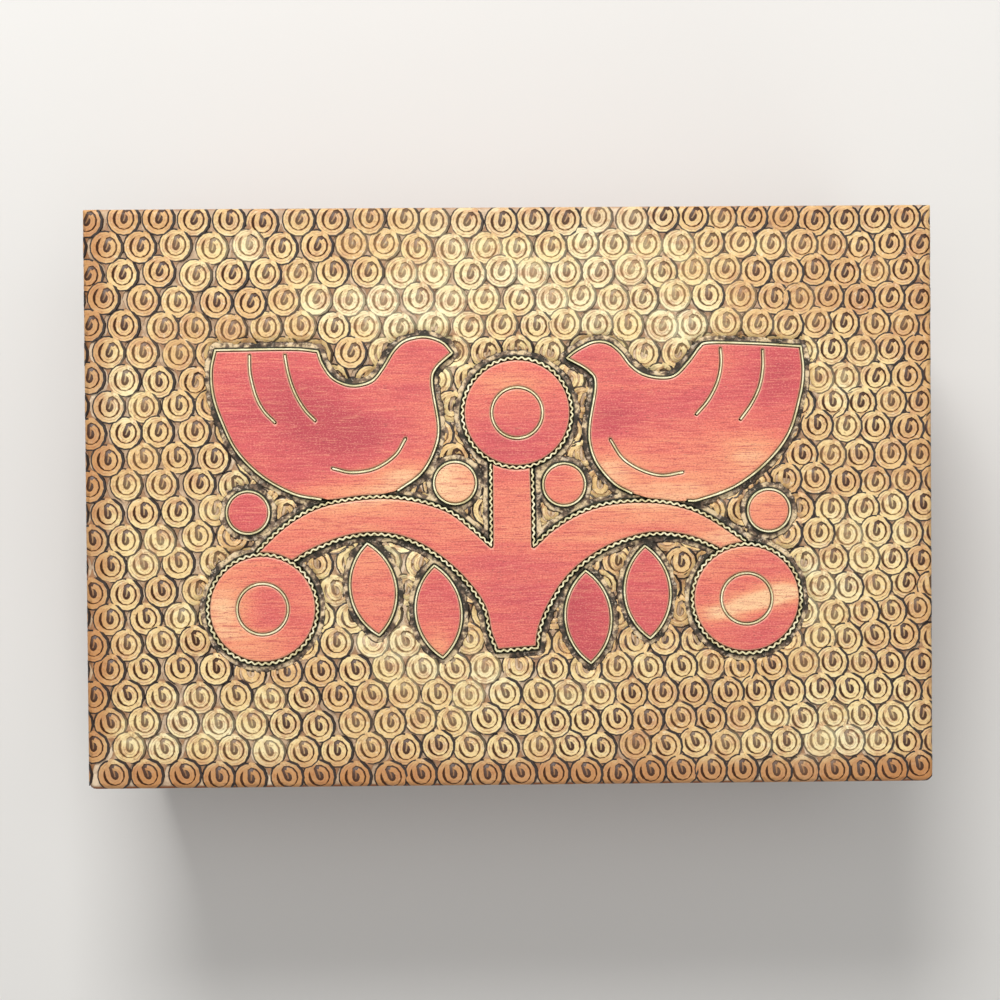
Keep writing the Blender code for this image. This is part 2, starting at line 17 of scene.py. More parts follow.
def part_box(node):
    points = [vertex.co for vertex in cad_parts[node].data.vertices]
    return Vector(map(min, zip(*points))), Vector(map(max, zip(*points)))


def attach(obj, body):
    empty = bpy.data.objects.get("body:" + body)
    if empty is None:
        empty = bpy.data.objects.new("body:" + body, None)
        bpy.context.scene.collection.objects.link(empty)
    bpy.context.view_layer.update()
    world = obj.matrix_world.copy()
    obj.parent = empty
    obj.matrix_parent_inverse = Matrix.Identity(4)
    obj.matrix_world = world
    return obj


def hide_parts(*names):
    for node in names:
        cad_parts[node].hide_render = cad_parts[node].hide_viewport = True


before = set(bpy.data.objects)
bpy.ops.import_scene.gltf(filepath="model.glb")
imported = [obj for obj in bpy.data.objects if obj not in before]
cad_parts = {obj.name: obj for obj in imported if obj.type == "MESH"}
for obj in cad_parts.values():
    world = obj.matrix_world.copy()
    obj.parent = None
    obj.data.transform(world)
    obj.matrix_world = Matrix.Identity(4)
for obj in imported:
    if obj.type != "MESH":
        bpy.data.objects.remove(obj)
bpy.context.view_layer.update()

MM = 0.001

# Places read from the frame
LID_LOW, LID_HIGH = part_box("lid_board")
STRIP_LOW, STRIP_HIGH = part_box("trunk_strip")

# Lid: the heights of its fields, its punched ground and the floors of slits and grooves
FIELD_TOP = LID_HIGH.z
GROUND = FIELD_TOP - 0.6 * MM
GROOVE_FLOOR = GROUND - 0.4 * MM
SEAM = 0.3 * MM
SLIT_FLOOR = STRIP_LOW.z - SEAM
LID_HALF = LID_HIGH.xy
EDGE_ROUND = 1.2 * MM
EDGE_STEPS = 6
EDGE_RELIEF = 0.38 * MM
EDGE_BLEND = 2.6 * MM
CORNER_ROUND = 0.4 * MM
UNDER_ROUND = 0.4 * MM
# Cuts through the stamps near the lid's edges. What lies past the first is cut off
EDGE_CUTS = (0.12 * MM, 0.3 * MM, 0.55 * MM, 0.85 * MM, 1.2 * MM)

# The lid's sides, as axis and direction, and how amber each one is
AMBER_SIDES = ((1, -1, 1.0), (0, -1, 0.75), (1, 1, 0.45), (0, 1, 0.4))

# Picture
PICTURE_MARGIN = 26.75 * MM
PICTURE_LENGTH = 2 * (LID_HIGH.x - PICTURE_MARGIN)
ROSETTE_RADIUS = 0.0917 * PICTURE_LENGTH
EYE_RADIUS = 0.0427 * PICTURE_LENGTH
BERRY_RADIUS = 0.0356 * PICTURE_LENGTH
LEAF_LENGTH = 0.1557 * PICTURE_LENGTH
LEAF_WIDTH = 0.0775 * PICTURE_LENGTH
FIELD_ROUND = 0.4 * MM
FIELD_WAVINESS = 0.05 * MM

# Brass strip in its slit
STRIP_THICKNESS = 0.4 * MM
STRIP_CHAMFER = 0.08 * MM
STRIP_UNEVEN = 0.16
STRIP_RISE = 0.05 * MM
PLAIN_HALF_SLIT = 0.31 * MM
CRIMPED_HALF_SLIT = 0.47 * MM
WAVE_LENGTH = 1.5 * MM
WAVE_HEIGHT = 0.2 * MM
WAVE_POINTS = 8
STRIP_JOIN = 0.6 * MM

# Gouged border round the picture, by distance from the slit
DITCH_DEPTH = 0.25 * MM
DITCH_ROUGHNESS = 0.12 * MM
DITCH_WIDTH = 1.15 * MM
DITCH_UNEVEN = 0.3 * MM
DITCH_END = 1.32 * MM
STAMPS_BEGIN = 1.5 * MM

# Fineness. The rings are the distances from a slit at which the board and the fields have rows of points, for
# the fields in shares of FIELD_ROUND
DENSE = 0.1 * MM
SAMPLE = 0.45 * MM
LEAST_APART = 0.09 * MM
FIELD_SPACING = 1.6 * MM
GROUND_SPACING = 2.4 * MM
FIELD_RINGS = (0.0, 0.3, 0.65, 1.0, 1.8)
BOARD_RINGS = (-0.12 * MM, 0.0, 0.2 * MM, 0.55 * MM, 0.9 * MM,
               DITCH_WIDTH, DITCH_END, STAMPS_BEGIN, 1.75 * MM)

# Spiral stamps, and the bits of ground left between them
ROWS = 22
BANDS = 7
COLUMNS = 28
SEED = 7
STAMP_SIZES = {
    "Row Pitch": 5.6 * MM,
    "Stamp Pitch": 6.9 * MM,
    "Crowding": 0.028 * MM,
    "Row Wander": 2.3 * MM,
    "Start Radius": 2.98 * MM,
    "Inner Radius": 1.38 * MM,
    "Inner Shift": 0.14 * MM,
    "Inner Stretch": 0.2,
    "Start Angle": math.radians(95),
    "Sweep": math.radians(702),
    "Land Width": 1.54 * MM,
    "Land Top": 1.26 * MM,
    "Relief": GROUND - GROOVE_FLOOR + 0.05 * MM,
    "Bit Size": 1.05 * MM,
    "Bit Hollow": 0.55 * MM,
    "Stray": 0.42 * MM,
    "Turn Spread": math.radians(13),
    "Tilt": math.radians(1.2),
}
SPIRAL_POINTS = 26
CLOSING_DROP = 0.12 * MM
INNER_DROP = 0.03 * MM
# A stamp's usual tilt and turn, and how much the turn changes from the lid's middle to its far side
USUAL_TILT = (math.radians(1.3), math.radians(-1.6))
USUAL_TURN = math.radians(-4)
TURN_DRIFT = math.radians(-15)
# The stamps' tones and strengths of staining and painted shade, from least to most, and the direction of a
# stamp's darkest side, where its painted shade falls
TONES = (0.4, 0.62)
STAIN_AND_SHADE_STRENGTHS = (0.75, 1.15)
STAIN_AND_SHADE_SIDE = (0.8, 0.6)
# The bits of ground: over a stamp or under it, and the shift from the middle of the gap
BIT_PLACES = ((1, -0.05 * MM, -0.08 * MM), (-1, -0.15 * MM, 0.1 * MM))
BIT_DEPTH = 1.3  # as a share of the relief
FLOOR_RADII = (2.6 * MM, 2.65 * MM)
FLOOR_THICKNESS = 0.1 * MM
FLOOR_DEPTH = 0.62  # as a share of the relief
TONGUE = {
    "Start": (0.12 * MM, 1.5 * MM, -0.14 * MM),
    "Middle": (0.2 * MM, 0.5 * MM, -0.16 * MM),
    "End": (0.02 * MM, -0.5 * MM, -0.18 * MM),
}
# Angles along the spiral: where it turns in, where it closes, and where its outer ring ends
TURNING_IN = (math.radians(345), math.radians(430))
CLOSING = (math.radians(500), math.radians(720))
OUTER_END = (math.radians(350), math.radians(368))
# How far stamps and bits of ground are pushed under the border, and further under a field
BORDER_SINK = 0.55 * MM
FIELD_SINK = 1.2 * MM
# The paler area behind the picture, as middle and half size, and how much paler it is
PALE_MIDDLE = (8 * MM, 48 * MM)
PALE_HALF = (50 * MM, 18 * MM)
PALENESS = 0.4

# How far the edges of the case's and hinges' pieces are eased, and the screws' slot
WALL_EASE = 0.2 * MM
BOTTOM_EASE = 0.15 * MM
LEAF_EASE = 0.08 * MM
PIN_EASE = 0.15 * MM
SCREW_SIDES = 32
SCREW_SLOT = (4 * MM, 0.45 * MM, 0.8 * MM)

# Camera and light
CAMERA_ABOVE_LID = 0.5
CAMERA_TILT_DEGREES = (-1.053, -0.992, -0.442)
CAMERA_OFFSET = (-10.7 * MM, 8.6 * MM)
CAMERA_LENS_MM = 84.8
# Each softbox's place, what it points at, its side and its power in watts
SOFTBOXES = {
    "window": ((-0.12, 0.62, 0.62), (0, 0, 0.05), 0.35, 6.5),
    "overhead": ((0.05, 0.1, 1.3), (0, 0, 0.05), 0.9, 4.5),
    "front_fill": ((0.3, -0.9, 0.6), (0, 0, 0.03), 0.8, 1.5),
}

# The birds' edges, as runs that meet at sharp corners, in shares of PICTURE_LENGTH
BIRD_EDGE_SHARES = {
    "left": (
        ((-0.316, -0.002), (-0.363, 0.008), (-0.416, 0.038), (-0.457, 0.080), (-0.481, 0.129),
         (-0.495, 0.172), (-0.498, 0.214), (-0.491, 0.249)),
        ((-0.491, 0.249), (-0.365, 0.250), (-0.320, 0.246)),
        ((-0.320, 0.246), (-0.312, 0.224), (-0.294, 0.200), (-0.263, 0.188), (-0.231, 0.195), (-0.212, 0.216),
         (-0.193, 0.246), (-0.173, 0.263), (-0.141, 0.269), (-0.112, 0.260), (-0.095, 0.242)),
        ((-0.095, 0.242), (-0.123, 0.216), (-0.129, 0.189), (-0.119, 0.121), (-0.125, 0.082),
         (-0.148, 0.041), (-0.188, 0.012)),
    ),
    "right": (
        ((0.299, -0.009), (0.319, -0.007), (0.379, 0.015), (0.432, 0.055), (0.469, 0.103),
         (0.488, 0.164), (0.494, 0.207), (0.490, 0.249)),
        ((0.490, 0.249), (0.415, 0.254), (0.335, 0.256), (0.318, 0.247)),
        ((0.318, 0.247), (0.300, 0.223), (0.277, 0.201), (0.250, 0.198), (0.223, 0.205), (0.203, 0.220),
         (0.186, 0.242), (0.165, 0.257), (0.141, 0.258), (0.114, 0.245), (0.097, 0.232)),
        ((0.097, 0.232), (0.134, 0.210), (0.145, 0.187), (0.135, 0.123), (0.135, 0.088),
         (0.147, 0.054), (0.175, 0.021), (0.205, 0.004)),
    ),
}
BIRD_FOOT_SHARE = {"left": (-0.252, -0.002), "right": (0.252, -0.010)}
BIRD_LINE_SHARES = {
    "tail_outer_left": ((-0.434, 0.240), (-0.433, 0.209), (-0.424, 0.172), (-0.411, 0.147), (-0.392, 0.127)),
    "tail_inner_left": ((-0.375, 0.240), (-0.369, 0.207), (-0.358, 0.175), (-0.342, 0.148), (-0.325, 0.130)),
    "tail_inner_right": ((0.355, 0.246), (0.356, 0.221), (0.350, 0.191), (0.335, 0.161), (0.314, 0.136)),
    "tail_outer_right": ((0.426, 0.243), (0.426, 0.212), (0.420, 0.181), (0.406, 0.152), (0.388, 0.127)),
    "breast_left": ((-0.297, 0.050), (-0.265, 0.043), (-0.226, 0.049), (-0.192, 0.071), (-0.174, 0.099)),
    "breast_right": ((0.169, 0.095), (0.189, 0.064), (0.219, 0.044), (0.254, 0.034), (0.291, 0.039)),
}
ROSETTE_SHARES = {"centre": (0.013, 0.141), "left": (-0.416, -0.185), "right": (0.397, -0.174)}
BERRY_SHARES = {
    "outer_left": (-0.439, -0.023),
    "inner_left": (-0.092, 0.024),
    "inner_right": (0.091, 0.020),
    "outer_right": (0.435, -0.026),
}
# Each leaf's upper tip, and how many degrees its lower tip swings towards +X
LEAF_TIP_SHARES = {
    "outer_left": ((-0.240, -0.076), 7),
    "inner_left": ((-0.128, -0.114), 5),
    "inner_right": ((0.126, -0.125), 3),
    "outer_right": ((0.226, -0.084), 3),
}
# The tree's three edges, which run from rosette to rosette
TREE_EDGE_SHARES = {
    "branch_left": (
        ((-0.032, 0.080), (-0.032, -0.014), (-0.032, -0.082)),
        ((-0.032, -0.082), (-0.062, -0.054), (-0.102, -0.023), (-0.153, -0.005), (-0.210, 0.002),
         (-0.269, -0.002), (-0.323, -0.014), (-0.374, -0.042), (-0.421, -0.085), (-0.446, -0.118)),
    ),
    "trunk": (
        ((-0.386, -0.121), (-0.361, -0.104), (-0.324, -0.084), (-0.273, -0.066), (-0.220, -0.061),
         (-0.169, -0.072), (-0.120, -0.100), (-0.075, -0.142), (-0.045, -0.186), (-0.036, -0.227),
         (-0.024, -0.259)),
        ((-0.024, -0.259), (0.045, -0.254)),
        ((0.045, -0.254), (0.048, -0.227), (0.062, -0.190), (0.092, -0.142), (0.133, -0.105),
         (0.184, -0.078), (0.243, -0.064), (0.302, -0.071), (0.346, -0.089), (0.373, -0.103)),
    ),
    "branch_right": (
        ((0.037, 0.070), (0.039, -0.014), (0.039, -0.083)),
        ((0.039, -0.083), (0.071, -0.054), (0.114, -0.028), (0.164, -0.012), (0.227, -0.008),
         (0.282, -0.015), (0.333, -0.035), (0.398, -0.079), (0.428, -0.106)),
    ),
}
# Each field's dye, from crimson at 0 to orange at 1
DYES = {
    "bird_left": 0.40, "bird_right": 0.44, "tree": 0.54,
    "rosette_centre": 0.42, "rosette_left": 0.50, "rosette_right": 0.46,
    "berry_outer_left": 0.34, "berry_inner_left": 0.85, "berry_inner_right": 0.52, "berry_outer_right": 0.55,
    "leaf_outer_left": 0.52, "leaf_inner_left": 0.40, "leaf_inner_right": 0.20, "leaf_outer_right": 0.22,
}
# Where the dye took more or less: the spot's middle and its half width and height, in shares, and the change
DYE_SPOTS = (
    (-0.34, 0.145, 0.080, 0.055, -0.45), (-0.26, 0.110, 0.070, 0.040, -0.35),
    (-0.17, 0.170, 0.040, 0.050, -0.12), (-0.18, 0.035, 0.070, 0.035, 0.50),
    (-0.28, 0.005, 0.080, 0.025, 0.40), (-0.45, 0.200, 0.040, 0.050, 0.05),
    (0.17, 0.134, 0.050, 0.040, -0.30), (0.17, 0.040, 0.050, 0.035, 0.40),
    (0.28, 0.008, 0.080, 0.030, 0.35), (0.41, 0.070, 0.060, 0.040, 0.35),
    (0.45, 0.200, 0.050, 0.050, -0.25), (0.26, 0.150, 0.080, 0.040, -0.12),
    (0.01, -0.160, 0.120, 0.080, -0.16), (-0.25, -0.030, 0.100, 0.030, 0.10),
    (0.14, -0.080, 0.050, 0.030, 0.06), (0.36, -0.080, 0.050, 0.040, 0.25),
    (-0.48, -0.190, 0.040, 0.050, 0.40), (-0.41, -0.180, 0.030, 0.030, -0.20),
    (-0.42, -0.255, 0.060, 0.030, 0.20), (0.355, -0.197, 0.045, 0.013, 0.60),
    (0.41, -0.180, 0.045, 0.014, 0.80), (0.46, -0.163, 0.040, 0.018, 0.80),
    (0.39, -0.245, 0.060, 0.030, -0.15), (0.013, 0.195, 0.070, 0.035, 0.35),
    (0.00, 0.090, 0.070, 0.035, -0.20), (-0.124, -0.250, 0.030, 0.040, 0.45),
    (-0.235, -0.10, 0.030, 0.040, 0.15),
)


# Nodes

class Nodes:
    """Adds nodes to a tree. An input takes a value or another node's output."""

    def __init__(self, tree):
        self.tree = tree

    def add(self, kind, inputs=(), **settings):
        made = self.tree.nodes.new(kind)
        for name, value in settings.items():
            setattr(made, name, value)
        for name, value in dict(inputs).items():
            self.feed(made.inputs[name], value)
        return made

    def out(self, kind, inputs=(), **settings):
        """The first output of a new node."""
        return self.add(kind, inputs, **settings).outputs[0]

    def feed(self, socket, value):
        if isinstance(value, bpy.types.NodeSocket):
            self.tree.links.new(value, socket)
        else:
            socket.default_value = value

    def math(self, operation, a, b=0.0, clamp=False):
        made = self.add("ShaderNodeMath", {0: a, 1: b}, operation=operation)
        made.use_clamp = clamp
        return made.outputs[0]

    def plus(self, a, b, clamp=False):
        return self.math("ADD", a, b, clamp)

    def minus(self, a, b):
        return self.math("SUBTRACT", a, b)

    def times(self, a, b, clamp=False):
        return self.math("MULTIPLY", a, b, clamp)

    def over(self, a, b):
        return self.math("DIVIDE", a, b)

    def away(self, a, b):
        """How far the two values are apart."""
        return self.math("ABSOLUTE", self.minus(a, b))

    def smooth(self, value, low, high, start=0.0, end=1.0):
        """Turns smoothly from start to end as the value goes from low to high."""
        inputs = {"Value": value, "From Min": low, "From Max": high, "To Min": start, "To Max": end}
        return self.out("ShaderNodeMapRange", inputs, interpolation_type="SMOOTHSTEP")

    def vector(self, x, y, z):
        return self.out("ShaderNodeCombineXYZ", {0: x, 1: y, 2: z})

    def vectors(self, operation, *values, output="Vector"):
        made = self.add("ShaderNodeVectorMath", dict(enumerate(values)), operation=operation)
        return made.outputs[output]

    def position(self):
        """Each point's x, y and z."""
        return self.add("ShaderNodeSeparateXYZ", {0: self.out("GeometryNodeInputPosition")}).outputs

    def random_vector(self, spread, seed):
        """A random vector within the spread either way, for each point."""
        inputs = {0: self.vectors("MULTIPLY", spread, (-1, -1, -1)), 1: spread, "Seed": seed}
        return self.out("FunctionNodeRandomValue", inputs, data_type="FLOAT_VECTOR")

    def random_share(self, low, high, seed):
        """A random value between the two, for each point."""
        inputs = {2: low, 3: high, "Seed": seed}
        return self.add("FunctionNodeRandomValue", inputs, data_type="FLOAT").outputs[1]

    def joined(self, *parts):
        made = self.add("GeometryNodeJoinGeometry")
        for part in parts:
            self.feed(made.inputs[0], part)
        return made.outputs[0]

    def keep(self, geometry, name, value, domain="POINT"):
        """Stores the value under that name on the geometry."""
        inputs = {"Geometry": geometry, "Name": name, "Value": value}
        return self.out("GeometryNodeStoreNamedAttribute", inputs, data_type="FLOAT", domain=domain)

    def kept(self, name):
        """What is stored on the geometry under that name."""
        return self.out("GeometryNodeInputNamedAttribute", {"Name": name}, data_type="FLOAT")


def tint(red, green, blue):
    """A colour given in display values from 0 to 255, as the shaders take it."""
    shares = [value / 255 for value in (red, green, blue)]
    linear = [share / 12.92 if share <= 0.04045 else ((share + 0.055) / 1.055) ** 2.4 for share in shares]
    return (*linear, 1.0)


class Finish(Nodes):
    """The nodes of a new material. Colours are given in display values."""

    def __init__(self, name, metallic=0.0, coat=0.0):
        self.material = bpy.data.materials.new(name)
        self.material.use_nodes = True
        super().__init__(self.material.node_tree)
        self.wear({"Metallic": metallic, "Coat Weight": coat, "Coat Roughness": 0.3})

    def wear(self, values):
        shader = self.tree.nodes["Principled BSDF"]
        for name, value in values.items():
            self.feed(shader.inputs[name], value)

    def finished(self, colour, roughness, bumps, strength, height):
        """The material, with bumps that follow a pattern."""
        inputs = {"Height": bumps, "Strength": strength, "Distance": height}
        bump = self.out("ShaderNodeBump", inputs)
        self.wear({"Base Color": colour, "Roughness": roughness, "Normal": bump})
        return self.material

    def attribute(self, name):
        """What a mesh stores under that name, as a shader reads it."""
        return self.add("ShaderNodeAttribute", attribute_name=name).outputs["Fac"]

    def pattern(self, stretch, detail=3.0, roughness=0.5, distortion=0.0, lean=0.0):
        """A random pattern in the piece's own coordinates, stretched for a grain that leans by degrees."""
        own = self.add("ShaderNodeTexCoord").outputs["Object"]
        turn = (0, 0, math.radians(lean))
        place = self.out("ShaderNodeMapping", {"Vector": own, "Rotation": turn, "Scale": stretch})
        inputs = {"Vector": place, "Scale": 1.0, "Detail": detail, "Roughness": roughness,
                  "Distortion": distortion}
        return self.out("ShaderNodeTexNoise", inputs)

    def swayed(self, value, pattern, amount, clamp=False):
        """The value, raised and lowered by a pattern."""
        return self.plus(value, self.times(self.minus(pattern, 0.5), amount), clamp)

    def ramp(self, value, stops):
        made = self.add("ShaderNodeValToRGB", {0: value})
        elements = made.color_ramp.elements
        while len(elements) < len(stops):
            elements.new(0.5)
        for element, (place, colour) in zip(elements, stops):
            element.position = place
            element.color = tint(*colour)
        return made.outputs[0]

    def mix(self, share, a, b):
        return self.add("ShaderNodeMix", {0: share, 6: a, 7: b}, data_type="RGBA").outputs[2]

    def washed(self, colour, *washes):
        """The colour under washes. Each covers it by one share up to a low value of something measured and by
        another from a high value, and has a colour: (measured, low, high, share, share, colour)."""
        for measured, low, high, start, end, wash in washes:
            colour = self.mix(self.smooth(measured, low, high, start, end), colour, tint(*wash))
        return colour


# Finishes

def dyed_wood():
    """The raised fields: red dye that took unevenly along the grain, with a painted highlight along the rims.
    """
    nodes = Finish("dyed_wood", coat=0.25)
    fine = nodes.pattern((190, 3300, 900), detail=3, roughness=0.6, distortion=0.8, lean=4)
    speckle = nodes.pattern((2600, 3600, 2600), detail=3, roughness=0.7)
    streaks = nodes.pattern((26, 560, 90), detail=4, roughness=0.6, lean=4)
    patches = nodes.pattern((24, 42, 40), detail=3)
    pores = nodes.pattern((900, 3600, 1200), detail=1)
    dye = nodes.swayed(nodes.attribute("dye"), patches, 0.9)
    dye = nodes.swayed(dye, streaks, 0.55, clamp=True)
    colour = nodes.ramp(dye, [
        (0.0, (186, 50, 66)), (0.25, (212, 78, 82)), (0.5, (230, 112, 90)), (0.75, (240, 150, 106)),
        (1.0, (252, 206, 152)),
    ])
    colour = nodes.washed(
        colour,
        (fine, 0.5, 0.7, 0.0, 0.3, (250, 182, 136)),
        (fine, 0.34, 0.5, 0.65, 0.0, (184, 54, 56)),
        (speckle, 0.52, 0.66, 0.0, 0.4, (250, 172, 148)),
        (speckle, 0.34, 0.48, 0.6, 0.0, (180, 48, 58)),
        (pores, 0.66, 0.74, 0.0, 0.45, (130, 34, 38)),
        # Pale pink along the rim beside the slit: a painted highlight on the rounded rim
        (nodes.attribute("clear"), 0.1 * MM, 0.4 * MM, 0.6, 0.0, (246, 200, 172)),
    )
    return nodes.finished(colour, nodes.smooth(fine, 0.2, 0.8, 0.38, 0.62), fine, 0.35, 0.15 * MM)


def punched_wood():
    """The stamps: pale and rubbed on top, with painted highlight flecks; browner towards each land's edges,
    brown in the grooves and dark down their outer sides, from staining and painted shade together; and amber
    round the lid's edge. The bits of ground between them are duller."""
    nodes = Finish("punched_wood", coat=0.15)
    broad = nodes.pattern((26, 34, 30), detail=3)
    fine = nodes.pattern((900, 1100, 700), detail=4, roughness=0.7)
    smudges = nodes.pattern((380, 460, 300), detail=3, roughness=0.65)
    streaks = nodes.pattern((60, 500, 200), detail=3)
    tone = nodes.swayed(nodes.attribute("tone"), broad, 1.8)
    tone = nodes.swayed(tone, streaks, 0.6, clamp=True)
    colour = nodes.ramp(tone, [
        (0.0, (212, 162, 104)), (0.35, (234, 194, 132)), (0.65, (247, 221, 158)), (1.0, (254, 241, 192)),
    ])
    colour = nodes.washed(
        colour,
        (smudges, 0.5, 0.66, 0.0, 0.5, (212, 158, 122)),
        (fine, 0.55, 0.68, 0.0, 0.55, (156, 106, 66)),
        # Near-white flecks: painted highlights
        (fine, 0.32, 0.45, 0.45, 0.0, (254, 244, 212)),
    )
    left_over = nodes.mix(nodes.smooth(smudges, 0.4, 0.6), tint(222, 190, 160), tint(148, 112, 92))
    colour = nodes.mix(nodes.times(nodes.attribute("unstamped"), 0.75), colour, left_over)
    rim = nodes.attribute("rim")
    colour = nodes.washed(colour, (rim, 0.0, 1.0, 0.0, 0.8, (184, 114, 54)))
    across = nodes.attribute("across")
    scored = nodes.smooth(nodes.away(across, 0.42), 0.05, 0.13, 0.6, 0.0)
    colour = nodes.mix(nodes.times(scored, nodes.smooth(smudges, 0.35, 0.6)), colour, tint(168, 116, 74))
    # Browner towards each land's edges: staining, with painted shade that rounds the land
    worn = nodes.smooth(nodes.away(across, 0.5), 0.2, 0.5, 0.0, 0.55)
    colour = nodes.mix(nodes.times(worn, nodes.smooth(smudges, 0.3, 0.6)), colour, tint(188, 134, 84))
    # Grooves go brown and outer edges nearly black: staining, with painted shade in the recesses and painted
    # shadow on each stamp's upper right
    strength = nodes.plus(nodes.attribute("stain_and_shade"), nodes.times(rim, 0.4))
    strength = nodes.times(strength, nodes.smooth(broad, 0.5, 0.66, 1.0, 0.75))
    groove = nodes.smooth(nodes.attribute("depth"), 0.05, 0.7)
    colour = nodes.mix(nodes.times(groove, strength, clamp=True), colour, tint(72, 42, 22))
    edge = nodes.smooth(nodes.attribute("shoulder"), 0.54, 0.64, 0.0, 1.15)
    colour = nodes.mix(nodes.times(edge, strength, clamp=True), colour, tint(40, 25, 18))
    return nodes.finished(colour, nodes.smooth(fine, 0.2, 0.8, 0.42, 0.66), fine, 0.6, 0.25 * MM)


def gouged_ground():
    """The board's top: pale ground between the stamps, amber round the lid's edge, and a stained grey border
    round the picture, darker along the slit and its outer edge, with pale flecks of crushed wood and painted
    glints."""
    nodes = Finish("gouged_ground")
    flecks = nodes.pattern((1000, 1000, 1000), detail=3, roughness=0.7)
    lumps = nodes.pattern((430, 430, 430), detail=3, roughness=0.6)
    broad = nodes.pattern((26, 34, 30), detail=3)
    clear = nodes.attribute("clear")
    ground = nodes.washed(
        tint(206, 176, 142),
        (broad, 0.4, 0.66, 0.0, 1.0, (232, 208, 176)),
        (lumps, 0.42, 0.62, 0.5, 0.0, (146, 112, 88)),
        (nodes.attribute("rim"), 0.0, 1.0, 0.0, 1.0, (150, 88, 46)),
    )
    border = nodes.washed(
        tint(120, 98, 80),
        (lumps, 0.49, 0.6, 0.0, 1.0, (226, 200, 158)),
        (lumps, 0.4, 0.5, 0.95, 0.0, (46, 40, 30)),
        # Pale flecks: crushed wood with painted glints
        (flecks, 0.55, 0.66, 0.0, 0.6, (232, 212, 186)),
        (flecks, 0.34, 0.45, 0.6, 0.0, (70, 52, 42)),
        (clear, 0.1 * MM, 0.4 * MM, 1.0, 0.0, (44, 46, 36)),
        (clear, 1.0 * MM, 1.3 * MM, 0.0, 1.0, (36, 24, 16)),
    )
    colour = nodes.mix(nodes.smooth(clear, 1.35 * MM, 1.6 * MM), border, ground)
    return nodes.finished(colour, 0.75, flecks, 0.7, 0.25 * MM)


def board_wood(name, along, dark, light, coat):
    """Finished wood with its grain along one axis: growth rings, fine pores and a few darker streaks."""
    nodes = Finish(name, coat=coat)

    def grain(lengthwise, across, up, **settings):
        stretch = {"X": (lengthwise, across, up), "Y": (across, lengthwise, up)}[along]
        return nodes.pattern(stretch, **settings)

    rings = grain(5, 60, 85, detail=3, roughness=0.55, distortion=0.6)
    bands = nodes.smooth(nodes.math("FRACT", nodes.times(rings, 9.0)), 0.0, 0.9)
    pores = grain(140, 2400, 2400, detail=2, roughness=0.6)
    streaks = grain(12, 260, 260, detail=3)
    share = nodes.plus(nodes.times(bands, 0.45), nodes.times(streaks, 0.55), clamp=True)
    colour = nodes.ramp(share, [(0.15, dark), (0.75, light)])
    colour = nodes.washed(colour, (pores, 0.58, 0.7, 0.0, 0.55, dark))
    return nodes.finished(colour, nodes.smooth(pores, 0.3, 0.8, 0.36, 0.62), pores, 0.25, 0.1 * MM)


def strip_brass():
    """Brass strip: filed pale along its top edge, and darker down its sides into the slit from tarnish and
    painted shade.
    """
    nodes = Finish("inlay_brass", metallic=0.85)
    broad = nodes.pattern((260, 260, 260), detail=3)
    fine = nodes.pattern((1800, 1800, 1800), detail=2)
    colour = nodes.ramp(broad, [(0.3, (196, 186, 140)), (0.55, (226, 220, 180)), (0.8, (244, 240, 212))])
    colour = nodes.washed(
        colour,
        (fine, 0.6, 0.75, 0.0, 0.35, (168, 134, 84)),
        # Darker down the sides into the slit: tarnish with painted shade
        (nodes.attribute("depth"), 0.2, 1.0, 0.0, 1.0, (74, 72, 48)),
    )
    return nodes.finished(colour, nodes.smooth(fine, 0.2, 0.8, 0.3, 0.55), fine, 0.3, 0.05 * MM)


def aged_brass(name, worn, dull):
    """Hinge and screw brass, dulled unevenly."""
    nodes = Finish(name, metallic=1.0)
    broad = nodes.pattern((190, 190, 190), detail=4, roughness=0.6)
    scratches = nodes.pattern((300, 4000, 1500), detail=2)
    colour = nodes.washed(tint(*worn), (broad, 0.35, 0.7, 0.0, 1.0, dull))
    return nodes.finished(colour, nodes.smooth(broad, 0.3, 0.7, 0.26, 0.5), scratches, 0.15, 0.03 * MM)


def pale_floor():
    floor = Finish("pale_floor")
    floor.wear({"Base Color": tint(226, 224, 220), "Roughness": 0.8})
    return floor.material


def make_finishes():
    stained = ((70, 36, 18), (142, 82, 42), 0.3)
    bare = ((164, 116, 70), (206, 164, 112), 0.0)
    return {
        "dyed_wood": dyed_wood(),
        "punched_wood": punched_wood(),
        "gouged_ground": gouged_ground(),
        "stained_along": board_wood("stained_wood_along", "X", *stained),
        "stained_across": board_wood("stained_wood_across", "Y", *stained),
        "bare_along": board_wood("bare_wood_along", "X", *bare),
        "bare_across": board_wood("bare_wood_across", "Y", *bare),
        "plywood": board_wood("plywood", "X", (190, 150, 100), (222, 190, 142), 0.0),
        "inlay_brass": strip_brass(),
        "hinge_brass": aged_brass("hinge_brass", (214, 178, 108), (142, 106, 56)),
        "screw_brass": aged_brass("screw_brass", (224, 190, 124), (158, 120, 68)),
    }


# Outlines of the picture

def evenly(path, spacing):
    """Points along the path, about a spacing apart, with its ends kept."""
    reach = np.concatenate([[0], np.cumsum(np.linalg.norm(np.diff(path, axis=0), axis=1))])
    places = np.linspace(0, reach[-1], max(1, round(reach[-1] / spacing)) + 1)
    return np.stack([np.interp(places, reach, path[:, axis]) for axis in (0, 1)], 1)


